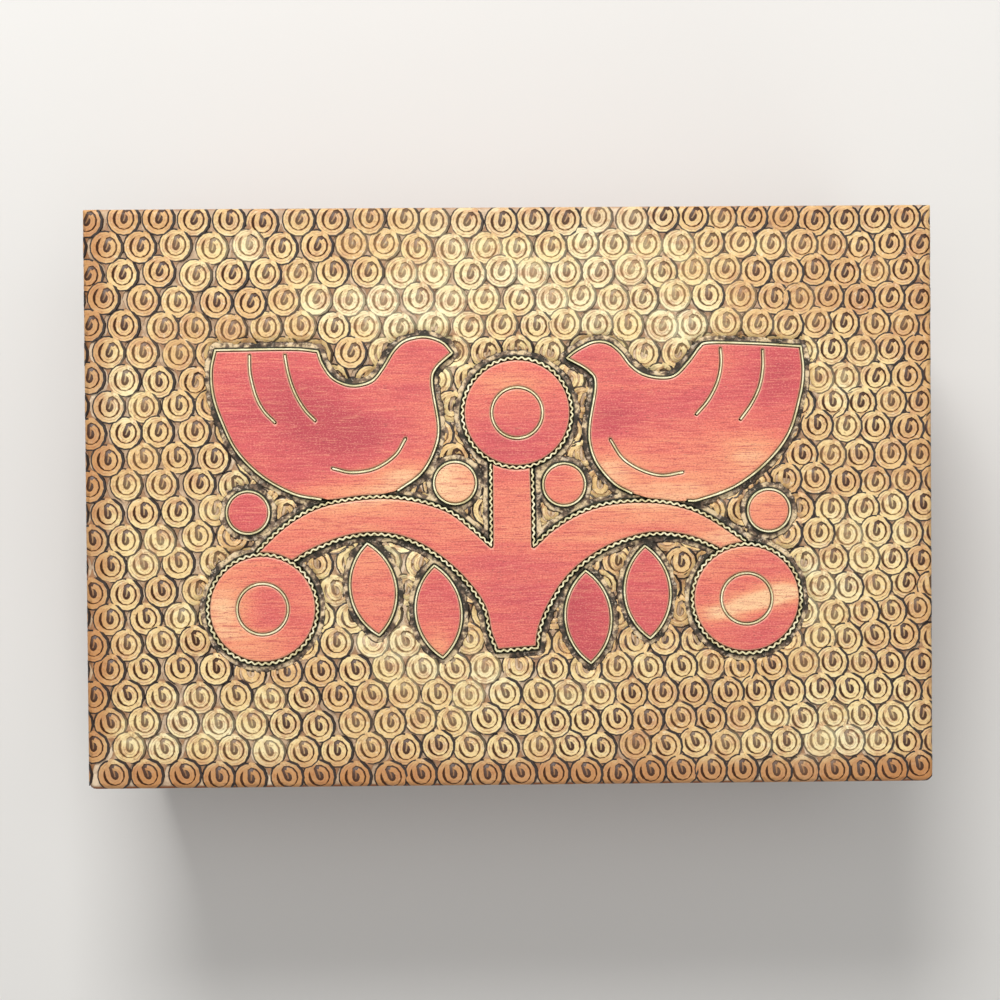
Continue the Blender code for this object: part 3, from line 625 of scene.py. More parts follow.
def smooth_run(shares):
    """Dense points of a smooth curve through the shares of one run."""
    knots = np.array(shares) * PICTURE_LENGTH
    padded = np.vstack([2 * knots[0] - knots[1], knots, 2 * knots[-1] - knots[-2]])
    t = np.linspace(0, 1, 40, endpoint=False)[:, None]
    path = []
    for before, start, end, after in zip(padded, padded[1:], padded[2:], padded[3:]):
        leaving, arriving = (end - before) / 2, (after - start) / 2
        path.append((2 * t**3 - 3 * t**2 + 1) * start + (t**3 - 2 * t**2 + t) * leaving
                    + (3 * t**2 - 2 * t**3) * end + (t**3 - t**2) * arriving)
    return evenly(np.vstack([*path, knots[-1:]]), DENSE)


def circle(middle, radius):
    count = round(2 * math.pi * radius / DENSE)
    angles = 2 * math.pi * np.arange(count + 1) / count
    return np.array(middle) + radius * np.stack([np.cos(angles), np.sin(angles)], 1)


def leaf_sides(tip, swing):
    """The leaf's two equal arcs, from its upper tip to its lower one and back."""
    bow, half = LEAF_WIDTH / 2, LEAF_LENGTH / 2
    radius = (half**2 + bow**2) / (2 * bow)
    spread = math.asin(half / radius)
    angles = np.linspace(spread, -spread, round(2 * radius * spread / DENSE))
    side = np.stack([radius * np.cos(angles) - radius + bow, radius * np.sin(angles) - half], 1)
    opposite = np.array([0, -LEAF_LENGTH]) - side
    lean = math.radians(swing)
    turn = np.array([[math.cos(lean), math.sin(lean)], [-math.sin(lean), math.cos(lean)]])
    return [tip + run @ turn for run in (side, opposite)]


class Strip:
    """One brass strip: dense runs that meet at sharp corners."""

    def __init__(self, runs, closed=False, crimped=False):
        self.runs = runs
        self.closed = closed
        self.crimped = crimped

    @property
    def half_slit(self):
        return CRIMPED_HALF_SLIT if self.crimped else PLAIN_HALF_SLIT

    def path(self, spacing):
        """Points along the whole strip. A closed one ends where it starts, and that point comes once."""
        runs = [evenly(run, spacing) for run in self.runs]
        whole = np.vstack([runs[0], *[run[1:] for run in runs[1:]]])
        return whole[:-1] if self.closed else whole

    def waved_path(self):
        """Points of the crimped line, with whole waves in each run and none at an open end."""
        bent = []
        for run in self.runs:
            waves = max(1, round(len(run) * DENSE / WAVE_LENGTH))
            even = evenly(run, len(run) * DENSE / waves / WAVE_POINTS)
            phase = 2 * math.pi * np.arange(len(even)) / WAVE_POINTS
            swing = WAVE_HEIGHT * np.cos(phase)
            if not self.closed:
                fade = np.minimum(np.arange(len(even)), np.arange(len(even))[::-1]) / WAVE_POINTS
                swing *= np.clip(fade, 0, 1)
            bent.append(even + left_of(even, self.closed) * swing[:, None])
        whole = np.vstack([bent[0], *[run[1:] for run in bent[1:]]])
        return whole[:-1] if self.closed else whole


def left_of(path, closed):
    """For each point of the path, the direction to its left."""
    if closed and np.allclose(path[0], path[-1]):
        ring = path[:-1]
        along = np.roll(ring, -1, 0) - np.roll(ring, 1, 0)
        along = np.vstack([along, along[:1]])
    else:
        along = np.gradient(path, axis=0)
    along /= np.linalg.norm(along, axis=1)[:, None]
    return np.stack([-along[:, 1], along[:, 0]], 1)


class Picture:
    """The picture's strips, and the closed outline of each field with the outlines cut out of it."""

    def __init__(self):
        self.strips = {}
        self.fields = {}
        self.rosettes = {name: np.array(share) * PICTURE_LENGTH for name, share in ROSETTE_SHARES.items()}
        self.add_birds()
        self.add_berries_and_leaves()
        self.add_rosettes()
        self.add_tree()

    def add_birds(self):
        for side, runs in BIRD_EDGE_SHARES.items():
            strip = Strip([smooth_run(run) for run in runs])
            foot = np.array([BIRD_FOOT_SHARE[side]]) * PICTURE_LENGTH
            self.strips[f"bird_{side}"] = strip
            self.fields[f"bird_{side}"] = (np.vstack([strip.path(SAMPLE), foot]), [])
        for name, shares in BIRD_LINE_SHARES.items():
            self.strips[name] = Strip([smooth_run(shares)])

    def add_berries_and_leaves(self):
        for name, share in BERRY_SHARES.items():
            strip = Strip([circle(np.array(share) * PICTURE_LENGTH, BERRY_RADIUS)], closed=True)
            self.strips[f"berry_{name}"] = strip
            self.fields[f"berry_{name}"] = (strip.path(SAMPLE), [])
        for name, (share, swing) in LEAF_TIP_SHARES.items():
            strip = Strip(leaf_sides(np.array(share) * PICTURE_LENGTH, swing), closed=True)
            self.strips[f"leaf_{name}"] = strip
            self.fields[f"leaf_{name}"] = (strip.path(SAMPLE), [])

    def add_rosettes(self):
        for name, middle in self.rosettes.items():
            ring = Strip([circle(middle, ROSETTE_RADIUS)], closed=True, crimped=True)
            eye = Strip([circle(middle, EYE_RADIUS)], closed=True)
            self.strips[f"rosette_{name}"] = ring
            self.strips[f"rosette_{name}_eye"] = eye
            self.fields[f"rosette_{name}"] = (ring.path(SAMPLE), [eye.path(SAMPLE)])
            self.fields[f"rosette_{name}_eye"] = (eye.path(SAMPLE), [])

    def add_tree(self):
        whole = []
        for name, runs in TREE_EDGE_SHARES.items():
            dense = [smooth_run(run) for run in runs]
            self.strips[name] = Strip([self.outside_rosettes(run, STRIP_JOIN) for run in dense], crimped=True)
            whole.append(np.vstack([self.outside_rosettes(run, 0.0) for run in dense]))
        left, trunk, right = whole
        middle = {name: point[None] for name, point in self.rosettes.items()}
        outline = np.vstack([left, middle["left"], trunk, middle["right"], right[::-1], middle["centre"]])
        holes = [circle(point, ROSETTE_RADIUS) for point in self.rosettes.values()]
        self.fields["tree"] = (outline[::3], holes)

    def outside_rosettes(self, run, gap):
        for middle in self.rosettes.values():
            run = run[np.linalg.norm(run - middle, axis=1) > ROSETTE_RADIUS + gap]
        return run


def within(points, outline):
    """Which points lie inside the closed outline."""
    inside = np.zeros(len(points), bool)
    x, y = points[:, 0], points[:, 1]
    for (x1, y1), (x2, y2) in zip(outline, np.roll(outline, -1, 0)):
        if y1 != y2:
            crosses = (y1 > y) != (y2 > y)
            inside ^= crosses & (x < (x2 - x1) * (y - y1) / (y2 - y1) + x1)
    return inside


class Slits:
    """Measures how far a point lies outside the nearest slit. Inside a slit the distance is negative."""

    def __init__(self, picture):
        self.outlines = [outline for outline, _ in picture.fields.values()]
        self.trees = []
        for crimped in (False, True):
            chosen = [strip for strip in picture.strips.values() if strip.crimped == crimped]
            points = np.vstack([run for strip in chosen for run in strip.runs])
            tree = KDTree(len(points))
            for index, (x, y) in enumerate(points):
                tree.insert((x, y, 0), index)
            tree.balance()
            self.trees.append((chosen[0].half_slit, tree))

    def clear(self, points):
        found = [[tree.find((x, y, 0))[2] - half for x, y in points] for half, tree in self.trees]
        return np.min(found, axis=0)

    def under_fields(self, points):
        return np.any([within(points, outline) for outline in self.outlines], axis=0)

    def border(self, points):
        """How far out in the uneven gouged border a point lies. Under a field it is -1 m."""
        clear = self.clear(points)
        uneven = DITCH_UNEVEN * (wander(points, 2.6 * MM) + wander(points, 1.1 * MM, 3.0))
        clear = clear + uneven * np.clip((clear - 0.3 * MM) / (0.5 * MM), 0, 1)
        return np.where(self.under_fields(points), -1.0, clear)


# Meshes

def thinned(points, least):
    """The points, less each that lies too near one before it."""
    kept = []
    cells = {}
    for index, (x, y) in enumerate(points):
        column, row = math.floor(x / least), math.floor(y / least)
        around = [cells.get((column + i, row + j)) for i in (-1, 0, 1) for j in (-1, 0, 1)]
        if all(other is None or math.dist(points[other], (x, y)) >= least for other in around):
            cells[column, row] = index
            kept.append(index)
    return points[kept]


def beside(strip, reach):
    """Points at that distance from the strip's line: both sides, and round its open ends."""
    path = strip.path(SAMPLE)
    closed_path = np.vstack([path, path[:1]]) if strip.closed else path
    left = left_of(closed_path, strip.closed)
    sides = [closed_path + left * reach, closed_path - left * reach]
    if not strip.closed or len(strip.runs) > 1:
        corners = [run[0] for run in strip.runs] + [strip.runs[-1][-1]]
        sides += [evenly(circle(corner, reach), min(SAMPLE, reach)) for corner in corners]
    return np.vstack(sides)


def lattice(half_x, half_y, spacing):
    """Points all over a rectangle, in rows that are offset like bricks."""
    rows = np.arange(-half_y, half_y + spacing / 2, spacing * math.sqrt(3) / 2)
    columns = np.arange(-half_x, half_x + spacing / 2, spacing)
    return np.array([(x + (row % 2) * spacing / 2, y) for row, y in enumerate(rows) for x in columns])


def triangulated(points, keep):
    """The triangles between the points whose middles are kept, as (points, triangles)."""
    found = delaunay_2d_cdt([Vector(point) / MM for point in points], [], [], 0, 1e-5, False)
    flat = np.array([tuple(point) for point in found[0]]) * MM
    triangles = np.array(found[2])
    corners = flat[triangles]
    triangles = triangles[keep(corners.mean(1))]
    a, b, c = (flat[triangles[:, i]] for i in range(3))
    clockwise = np.cross(b - a, c - a) < 0
    triangles[clockwise] = triangles[clockwise][:, ::-1]
    used, triangles = np.unique(triangles, return_inverse=True)
    return flat[used], triangles.reshape(-1, 3)


def mesh_from(name, points, faces):
    made = bpy.data.meshes.new(name)
    made.from_pydata(np.asarray(points).tolist(), [], [list(face) for face in faces])
    made.validate()
    return made


def store(mesh, name, values):
    kept = mesh.attributes.get(name) or mesh.attributes.new(name, "FLOAT", "POINT")
    kept.data.foreach_set("value", np.asarray(values, np.float32))


def stored(mesh, name):
    values = np.zeros(len(mesh.vertices), np.float32)
    mesh.attributes[name].data.foreach_get("value", values)
    return values


def places_of(mesh):
    values = np.zeros(len(mesh.vertices) * 3, np.float32)
    mesh.vertices.foreach_get("co", values)
    return values.reshape(-1, 3).astype(float)


def set_places(mesh, values):
    mesh.vertices.foreach_set("co", np.asarray(values, np.float32).ravel())
    mesh.update()


def wander(points, scale, seed=0.0):
    """Smooth random values from -1 to 1 for points of the lid."""
    return np.array([noise.noise((x / scale, y / scale, seed)) for x, y in points[:, :2]])


def closed_down(points, triangles, floor):
    """A closed body from the surface down to a flat floor."""
    bm = bmesh.new()
    verts = [bm.verts.new(point) for point in points]
    for triangle in triangles:
        bm.faces.new([verts[index] for index in triangle])
    edges = [edge for edge in bm.edges if edge.is_boundary]
    grown = bmesh.ops.extrude_edge_only(bm, edges=edges)["geom"]
    lower = {item for item in grown if isinstance(item, bmesh.types.BMVert)}
    for vert in lower:
        vert.co.z = floor
    rim = [edge for edge in bm.edges if edge.is_boundary and all(vert in lower for vert in edge.verts)]
    bmesh.ops.triangle_fill(bm, use_beauty=True, edges=rim)
    bmesh.ops.recalc_face_normals(bm, faces=bm.faces)
    return bm


def to_mesh(bm, name):
    made = bpy.data.meshes.new(name)
    bm.to_mesh(made)
    bm.free()
    return made


def evaluated_mesh(carrier):
    """What an object's mesh becomes under its modifiers."""
    bpy.context.view_layer.update()
    return bpy.data.meshes.new_from_object(carrier.evaluated_get(bpy.context.evaluated_depsgraph_get()))


def piece(name, mesh, body, finishes, replaces=(), sharp_degrees=35):
    """A finished piece that rides on a body and takes its finish from a slot."""
    mesh.name = name
    for index, finish in enumerate(finishes):
        if index < len(mesh.materials):
            mesh.materials[index] = finish
        else:
            mesh.materials.append(finish)
    mesh.shade_smooth()
    mesh.set_sharp_from_angle(angle=math.radians(sharp_degrees))
    made = bpy.data.objects.new(name, mesh)
    bpy.context.scene.collection.objects.link(made)
    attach(made, body)
    if replaces:
        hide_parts(*replaces)
    return made


# The lid's board and fields

def field_mesh(name, picture, slits):
    """A raised field: flat and a little wavy on top, rounded at its rim, closed down to the slits' floor."""
    outline, holes = picture.fields[name]
    levels = FIELD_ROUND * np.array(FIELD_RINGS)
    rings = [beside(strip, strip.half_slit + level) for level in levels for strip in picture.strips.values()]
    points = np.vstack([*rings, lattice(*LID_HALF, FIELD_SPACING)])
    low, high = outline.min(0), outline.max(0)
    points = points[np.all((points > low) & (points < high), axis=1)]

    def inside(places, least_clear):
        kept = within(places, outline) & (slits.clear(places) > least_clear)
        for hole in holes:
            kept &= ~within(places, hole)
        return kept

    points = thinned(points[inside(points, -0.004 * MM)], LEAST_APART)
    flat, triangles = triangulated(points, lambda middles: inside(middles, -0.03 * MM))
    clear = slits.clear(flat)
    drop = FIELD_ROUND - np.sqrt(FIELD_ROUND**2 - np.clip(FIELD_ROUND - clear, 0, FIELD_ROUND) ** 2)
    top = FIELD_TOP - drop - FIELD_WAVINESS * (1 + wander(flat, 9 * MM)) / 2
    bm = closed_down(np.column_stack([flat, top]), triangles, SLIT_FLOOR)
    made = to_mesh(bm, f"{name}_field")
    places = places_of(made)
    clear = slits.clear(places[:, :2])
    clear[places[:, 2] < SLIT_FLOOR + 0.1 * MM] = 0.0
    store(made, "clear", clear)
    dye = np.full(len(places), DYES[name.replace("_eye", "")])
    x, y = places[:, 0] / PICTURE_LENGTH, places[:, 1] / PICTURE_LENGTH
    for across, up, half_width, half_height, change in DYE_SPOTS:
        dye += change * np.exp(-((x - across) / half_width) ** 2 - ((y - up) / half_height) ** 2)
    store(made, "dye", dye)
    return made


def amber_round_edge(places, full, none):
    """How amber the wood is: full near each edge of the lid and none further in, most of all at the front."""
    amber = np.zeros(len(places))
    for axis, side, most in AMBER_SIDES:
        inset = LID_HALF[axis] - side * places[:, axis]
        amber = np.maximum(amber, most * np.interp(inset, [full, none], [1, 0]))
    return amber


def border_of_lid(inset):
    """The lid's rounded rectangle at that inset, as (points, outward directions)."""
    half = np.array(LID_HALF) - inset
    points, outward = [], []
    for quarter in range(4):
        angle = math.pi / 2 * quarter
        corner = np.array([math.copysign(1, math.cos(angle + math.pi / 4)),
                           math.copysign(1, math.sin(angle + math.pi / 4))])
        centre = corner * (half - CORNER_ROUND)
        for turn in np.linspace(angle, angle + math.pi / 2, 5):
            direction = np.array([math.cos(turn), math.sin(turn)])
            points.append(centre + CORNER_ROUND * direction)
            outward.append(direction)
        following = corner * ((-1, 1) if quarter % 2 == 0 else (1, -1))
        start = points[-1]
        target = start - (half - CORNER_ROUND) * (corner - following)
        count = round(np.linalg.norm(target - start) / (2 * MM))
        for share in np.arange(1, count) / count:
            points.append(start * (1 - share) + target * share)
            outward.append(direction)
    return np.array(points), np.array(outward)


def board_mesh(picture, slits):
    """The lid's board: slit floors, gouged border, ground under the stamps, rounded edges and mortises."""
    strips = picture.strips.values()
    rings = [beside(strip, strip.half_slit + level) for level in BOARD_RINGS for strip in strips]
    border, outward = border_of_lid(EDGE_ROUND)
    spread = lattice(*LID_HALF, GROUND_SPACING)
    spread = spread[np.all(np.abs(spread) < np.array(LID_HALF) - 2 * EDGE_ROUND, axis=1)]
    points = np.vstack([border, *rings, *[strip.path(2 * SAMPLE) for strip in strips], spread])
    clear = slits.clear(points)
    needed = ~slits.under_fields(points) | (clear < -0.1 * MM) | (clear > 1.5 * MM)
    points = thinned(points[needed], LEAST_APART)
    flat, triangles = triangulated(points, lambda middles: np.ones(len(middles), bool))
    clear = slits.border(flat)
    rough = DITCH_ROUGHNESS * (wander(flat, 0.8 * MM) + 1.5 * wander(flat, 1.9 * MM, 5.0))
    ditch = GROUND - DITCH_DEPTH + rough
    height = np.interp(clear, [BOARD_RINGS[0], 0.0, DITCH_WIDTH, DITCH_END, BOARD_RINGS[-1]], [0, 1, 1, 0, 0])
    base = np.where(clear < 0.5 * MM, SLIT_FLOOR, GROOVE_FLOOR - 0.1 * MM)
    z = base + (ditch - base) * height
    z = np.where(clear > STAMPS_BEGIN, GROOVE_FLOOR, z)
    near_edge = np.min(np.array(LID_HALF) - np.abs(flat), axis=1)
    z += np.interp(near_edge, [EDGE_ROUND, EDGE_BLEND], [GROUND - EDGE_RELIEF - GROOVE_FLOOR, 0])
    bm = bmesh.new()
    verts = [bm.verts.new((x, y, height)) for (x, y), height in zip(flat, z)]
    for triangle in triangles:
        bm.faces.new([verts[index] for index in triangle])
    row = [min(verts, key=lambda vert: (vert.co.xy - Vector(point)).length) for point in border]
    for step in range(1, EDGE_STEPS + 1):
        angle = math.pi / 2 * step / EDGE_STEPS
        places = border + outward * EDGE_ROUND * math.sin(angle)
        row = ring_below(bm, row, places, GROUND - EDGE_RELIEF - EDGE_ROUND * (1 - math.cos(angle)), 0)
    outer = border + outward * EDGE_ROUND
    row = ring_below(bm, row, outer, LID_LOW.z + UNDER_ROUND, 1)
    row = ring_below(bm, row, outer - outward * UNDER_ROUND * 0.3, LID_LOW.z + 0.3 * UNDER_ROUND, 1)
    row = ring_below(bm, row, outer - outward * UNDER_ROUND, LID_LOW.z, 1)
    add_underside(bm, row)
    bmesh.ops.recalc_face_normals(bm, faces=bm.faces)
    made = to_mesh(bm, "carved_lid_board")
    places = places_of(made)
    store(made, "clear", np.where(places[:, 2] > LID_LOW.z + 2 * MM, slits.border(places[:, :2]), 3 * MM))
    store(made, "rim", amber_round_edge(places, 0.3 * MM, 0.9 * MM))
    return made


def ring_below(bm, row, places, height, finish):
    """One more ring of faces round the edge, from the last row to these places."""
    following = [bm.verts.new((x, y, height)) for x, y in places]
    for index, vert in enumerate(row):
        after = (index + 1) % len(row)
        face = bm.faces.new((vert, row[after], following[after], following[index]))
        face.material_index = finish
    return following


def add_underside(bm, row):
    """The flat underside inside the last row, with a mortise for each hinge's upper leaf."""
    edges = [bm.edges.get((vert, row[(index + 1) % len(row)])) for index, vert in enumerate(row)]
    mortises = []
    for side in ("left", "right"):
        low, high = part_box(f"lid_hinge_leaf_{side}")
        left, front, right, back = low.x - SEAM, low.y - SEAM, high.x + SEAM, high.y + SEAM
        corners = ((left, front), (right, front), (right, back), (left, back))
        loop = [bm.verts.new((x, y, LID_LOW.z)) for x, y in corners]
        mortises.append((loop, high.z + SEAM))
        edges += [bm.edges.new((vert, loop[(index + 1) % 4])) for index, vert in enumerate(loop)]
    filled = bmesh.ops.triangle_fill(bm, use_beauty=True, edges=edges)["geom"]
    for face in filled:
        if isinstance(face, bmesh.types.BMFace):
            face.material_index = 2
    for loop, ceiling in mortises:
        upper = [bm.verts.new((vert.co.x, vert.co.y, ceiling)) for vert in loop]
        for index in range(4):
            after = (index + 1) % 4
            bm.faces.new((loop[index], loop[after], upper[after], upper[index])).material_index = 2
        bm.faces.new(upper).material_index = 2


def build_lid_board(picture, slits, finishes):
    board = board_mesh(picture, slits)
    wood = [finishes["gouged_ground"], finishes["stained_along"], finishes["bare_along"]]
    piece("carved_lid_board", board, "lid", wood, ["lid_board"])
    for name in picture.fields:
        field = field_mesh(name, picture, slits)
        piece(f"{name}_field", field, "lid", [finishes["dyed_wood"]], sharp_degrees=60)


# Brass strip

def strip_mesh(name, strip, seed):
    """A strip on edge, a little uneven in thickness and height, with its top corners filed off."""
    path = strip.waved_path() if strip.crimped else strip.path(0.8 * SAMPLE)
    count = len(path)
    ring = np.vstack([path, path[:1]]) if strip.closed else path
    left = left_of(ring, strip.closed)[:count]
    half = STRIP_THICKNESS / 2 * (1 + STRIP_UNEVEN * wander(path, 2.2 * MM, seed))
    top = STRIP_HIGH.z - STRIP_RISE + STRIP_RISE * wander(path, 3.1 * MM, seed + 9)
    section = [(1, STRIP_LOW.z, 1.0), (1, None, 0.35), (0.6, None, 0.0), (-0.6, None, 0.0), (-1, None, 0.35),
               (-1, STRIP_LOW.z, 1.0)]
    rows, depth = [], []
    for side, low, deep in section:
        height = np.full(count, low) if low else top - (STRIP_CHAMFER if abs(side) == 1 else 0)
        flat = path + left * (half * side)[:, None]
        rows.append(np.column_stack([flat, height]))
        depth.append(np.full(count, deep))
    points = np.stack(rows, 1).reshape(-1, 3)
    size = len(section)
    faces = []
    for start in range(count if strip.closed else count - 1):
        after = (start + 1) % count
        for corner in range(size):
            turn = (corner + 1) % size
            faces.append([row * size + side for row, side in
                          ((start, corner), (start, turn), (after, turn), (after, corner))])
    if not strip.closed:
        faces.append(tuple(range(size))[::-1])
        faces.append(tuple(range((count - 1) * size, count * size)))
    made = mesh_from(name, points, faces)
    store(made, "depth", np.stack(depth, 1).ravel())
    return outward_facing(made)


def outward_facing(mesh):
    bm = bmesh.new()
    bm.from_mesh(mesh)
    bmesh.ops.recalc_face_normals(bm, faces=bm.faces)
    bm.to_mesh(mesh)
    bm.free()
    return mesh


def build_strips(picture, finishes):
    for seed, (name, strip) in enumerate(picture.strips.items()):
        brass = strip_mesh(f"{name}_brass", strip, seed)
        piece(f"{name}_brass", brass, "lid", [finishes["inlay_brass"]], [f"{name}_strip"])


# Spiral stamps

def stamp_tree(finish):
    """Rows of spiral stamps, each turned and tilted a little, with a bit of ground in every gap between."""
    tree = bpy.data.node_groups.new("spiral_rows", "GeometryNodeTree")
    counts = {"First Row": 0, "Rows": 3, "Columns": COLUMNS, "Spiral Points": SPIRAL_POINTS, "Seed": SEED}
    tree.interface.new_socket("Geometry", in_out="INPUT", socket_type="NodeSocketGeometry")
    for kind, values in (("NodeSocketFloat", STAMP_SIZES), ("NodeSocketInt", counts)):
        for name, value in values.items():
            socket = tree.interface.new_socket(name, in_out="INPUT", socket_type=kind)
            socket.default_value = value
    tree.interface.new_socket("Geometry", in_out="OUTPUT", socket_type="NodeSocketGeometry")
    nodes = Nodes(tree)
    given = nodes.add("NodeGroupInput").outputs
    points = offset_grid(nodes, given)
    stamps = spread_out(nodes, given, points, spiral_land(nodes, given), stamp_turn(nodes, given), 0)
    bits = spread_out(nodes, given, points, gap_bits(nodes, given), (0.0, 0.0, 0.0), 1000)
    whole = nodes.joined(stamps, bits)
    plain = nodes.out("GeometryNodeRealizeInstances", {0: whole})
    wearing = nodes.out("GeometryNodeSetMaterial", {"Geometry": plain, "Material": finish})
    nodes.add("NodeGroupOutput", {0: wearing})
    return tree


def spiral_land(nodes, given):
    """One stamp: a land that winds in as a spiral, with its inner turn a little taller than wide, and a
    tongue that drops from the inner turn into the middle."""
    line = nodes.out("GeometryNodeCurvePrimitiveLine")
    line = nodes.out("GeometryNodeResampleCurve", {"Curve": line, "Count": given["Spiral Points"]})
    along = nodes.add("GeometryNodeSplineParameter").outputs["Factor"]
    share = nodes.times(along, nodes.plus(nodes.times(along, 0.4), 0.6))
    travel = nodes.times(given["Sweep"], share)
    angle = nodes.plus(given["Start Angle"], travel)
    drop = nodes.minus(given["Start Radius"], given["Inner Radius"])
    turned_in = nodes.smooth(travel, *TURNING_IN)
    radius = nodes.minus(given["Start Radius"], nodes.times(turned_in, drop))
    radius = nodes.minus(radius, nodes.smooth(travel, *CLOSING, 0.0, CLOSING_DROP))
    x = nodes.times(radius, nodes.math("COSINE", angle))
    x = nodes.plus(x, nodes.times(turned_in, given["Inner Shift"]))
    y = nodes.times(radius, nodes.math("SINE", angle))
    taller = nodes.plus(nodes.times(turned_in, given["Inner Stretch"]), 1.0)
    place = nodes.vector(x, nodes.times(y, taller), nodes.times(turned_in, -INNER_DROP))
    spiral = nodes.out("GeometryNodeSetPosition", {"Geometry": line, "Position": place})
    spiral = nodes.keep(spiral, "middle", radius)
    spiral = nodes.keep(spiral, "outer", nodes.smooth(travel, *OUTER_END, 1.0, 0.0))
    tongue = nodes.out("GeometryNodeCurveQuadraticBezier", {"Resolution": 2, **TONGUE})
    middle = nodes.kept("middle")
    width = nodes.times(nodes.smooth(along, 0.0, 0.05, 0.7, 1.0), nodes.smooth(along, 0.5, 0.65, 1.0, 0.78))
    width = nodes.times(width, nodes.smooth(middle, 0.5 * MM, 0.8 * MM, 0.3, 1.0))
    land = stained(nodes, given, land_along(nodes, given, nodes.joined(spiral, tongue), width))
    return nodes.joined(land, stamp_floor(nodes, given))


def stamp_floor(nodes, given):
    """The brown floor of the stamp's own grooves, higher than the ground between two stamps."""
    upper, lower = FLOOR_RADII
    disc = nodes.out("GeometryNodeMeshCone", {
        "Vertices": 9, "Radius Top": upper, "Radius Bottom": lower, "Depth": FLOOR_THICKNESS,
    }, fill_type="NGON")
    down = nodes.vector(0.0, 0.0, nodes.times(given["Relief"], -FLOOR_DEPTH))
    disc = nodes.out("GeometryNodeTransform", {"Geometry": disc, "Translation": down})
    # The stored depth makes the floor brown in the finish: staining and painted shade
    return nodes.keep(disc, "depth", 0.8)


def land_along(nodes, given, curves, width):
    """A land with a flat top and sloping sides along each curve."""
    top = nodes.times(given["Land Top"], 0.5)
    foot = nodes.times(given["Land Width"], 0.5)
    profile = nodes.out("GeometryNodeCurvePrimitiveQuadrilateral", {
        "Point 1": nodes.vector(nodes.times(top, -1.0), 0.0, 0.0),
        "Point 2": nodes.vector(top, 0.0, 0.0),
        "Point 3": nodes.vector(foot, given["Relief"], 0.0),
        "Point 4": nodes.vector(nodes.times(foot, -1.0), given["Relief"], 0.0),
    }, mode="POINTS")
    inputs = {"Curve": curves, "Profile Curve": profile, "Scale": width, "Fill Caps": True}
    return nodes.out("GeometryNodeCurveToMesh", inputs)


def stained(nodes, given, land):
    """Stores three values on a land, which the finish turns into staining and painted shade: how deep a point
    lies, scaled down on the outer side away from the upper right and elsewhere away from the left and the
    middle; how far across the land it lies, from 0 inside to 1 outside; and the same on the outer ring alone,
    less so at its lower left."""
    x, y, z = nodes.position()
    reach = nodes.vectors("LENGTH", nodes.vector(x, y, 0.0), output="Value")
    middle = nodes.kept("middle")
    outside = nodes.smooth(nodes.minus(reach, middle), -0.02 * MM, 0.02 * MM)
    outer = nodes.times(outside, nodes.kept("outer"))
    toward = nodes.plus(nodes.times(x, STAIN_AND_SHADE_SIDE[0]), nodes.times(y, STAIN_AND_SHADE_SIDE[1]))
    right = nodes.smooth(nodes.over(toward, reach), 0.0, 0.7)
    left = nodes.smooth(nodes.over(x, reach), -0.2, -0.85)
    core = nodes.smooth(reach, 1.25 * MM, 0.95 * MM)
    groove = nodes.math("MAXIMUM", nodes.times(core, 0.9), nodes.plus(nodes.times(left, 0.4), 0.45))
    wall = nodes.plus(nodes.times(right, 0.4), 0.6)
    share = nodes.plus(nodes.times(outer, nodes.minus(wall, groove)), groove)
    low = nodes.times(nodes.over(z, given["Relief"]), -1.0)
    land = nodes.keep(land, "depth", nodes.times(low, share))
    land = nodes.keep(land, "across", outside)
    edge = nodes.plus(nodes.times(right, 0.26), 0.74)
    return nodes.keep(land, "shoulder", nodes.times(outer, edge))


def gap_bits(nodes, given):
    """Two bits of ground, three-sided with hollow sides: in the gap over a stamp, and in the gap under it."""
    bits = []
    for side, shift_x, shift_y in BIT_PLACES:
        cone = nodes.out("GeometryNodeMeshCone", {
            "Vertices": 6, "Radius Top": 1.0, "Radius Bottom": 1.1, "Depth": given["Relief"],
        }, fill_type="NGON")
        place = nodes.position()
        angle = nodes.math("ARCTAN2", place[1], place[0])
        swell = nodes.math("COSINE", nodes.times(nodes.minus(angle, side * math.pi / 2), 3.0))
        reach = nodes.plus(given["Bit Size"], nodes.times(given["Bit Hollow"], swell))
        up = nodes.plus(nodes.times(given["Row Pitch"], side * 2 / 3), shift_y)
        moved = nodes.vector(
            nodes.plus(nodes.times(place[0], reach), shift_x),
            nodes.plus(nodes.times(place[1], reach), up),
            nodes.minus(place[2], nodes.times(given["Relief"], BIT_DEPTH)),
        )
        turned = nodes.out("GeometryNodeTransform", {"Geometry": cone, "Rotation": (0, 0, math.pi / 6)})
        bits.append(nodes.out("GeometryNodeSetPosition", {"Geometry": turned, "Position": moved}))
    height = nodes.position()[2]
    low = nodes.times(nodes.over(height, given["Relief"]), -1.0)
    # The stored depth darkens the bits in the finish: staining and painted shade
    return nodes.keep(nodes.keep(nodes.joined(*bits), "depth", low), "unstamped", 1.0)


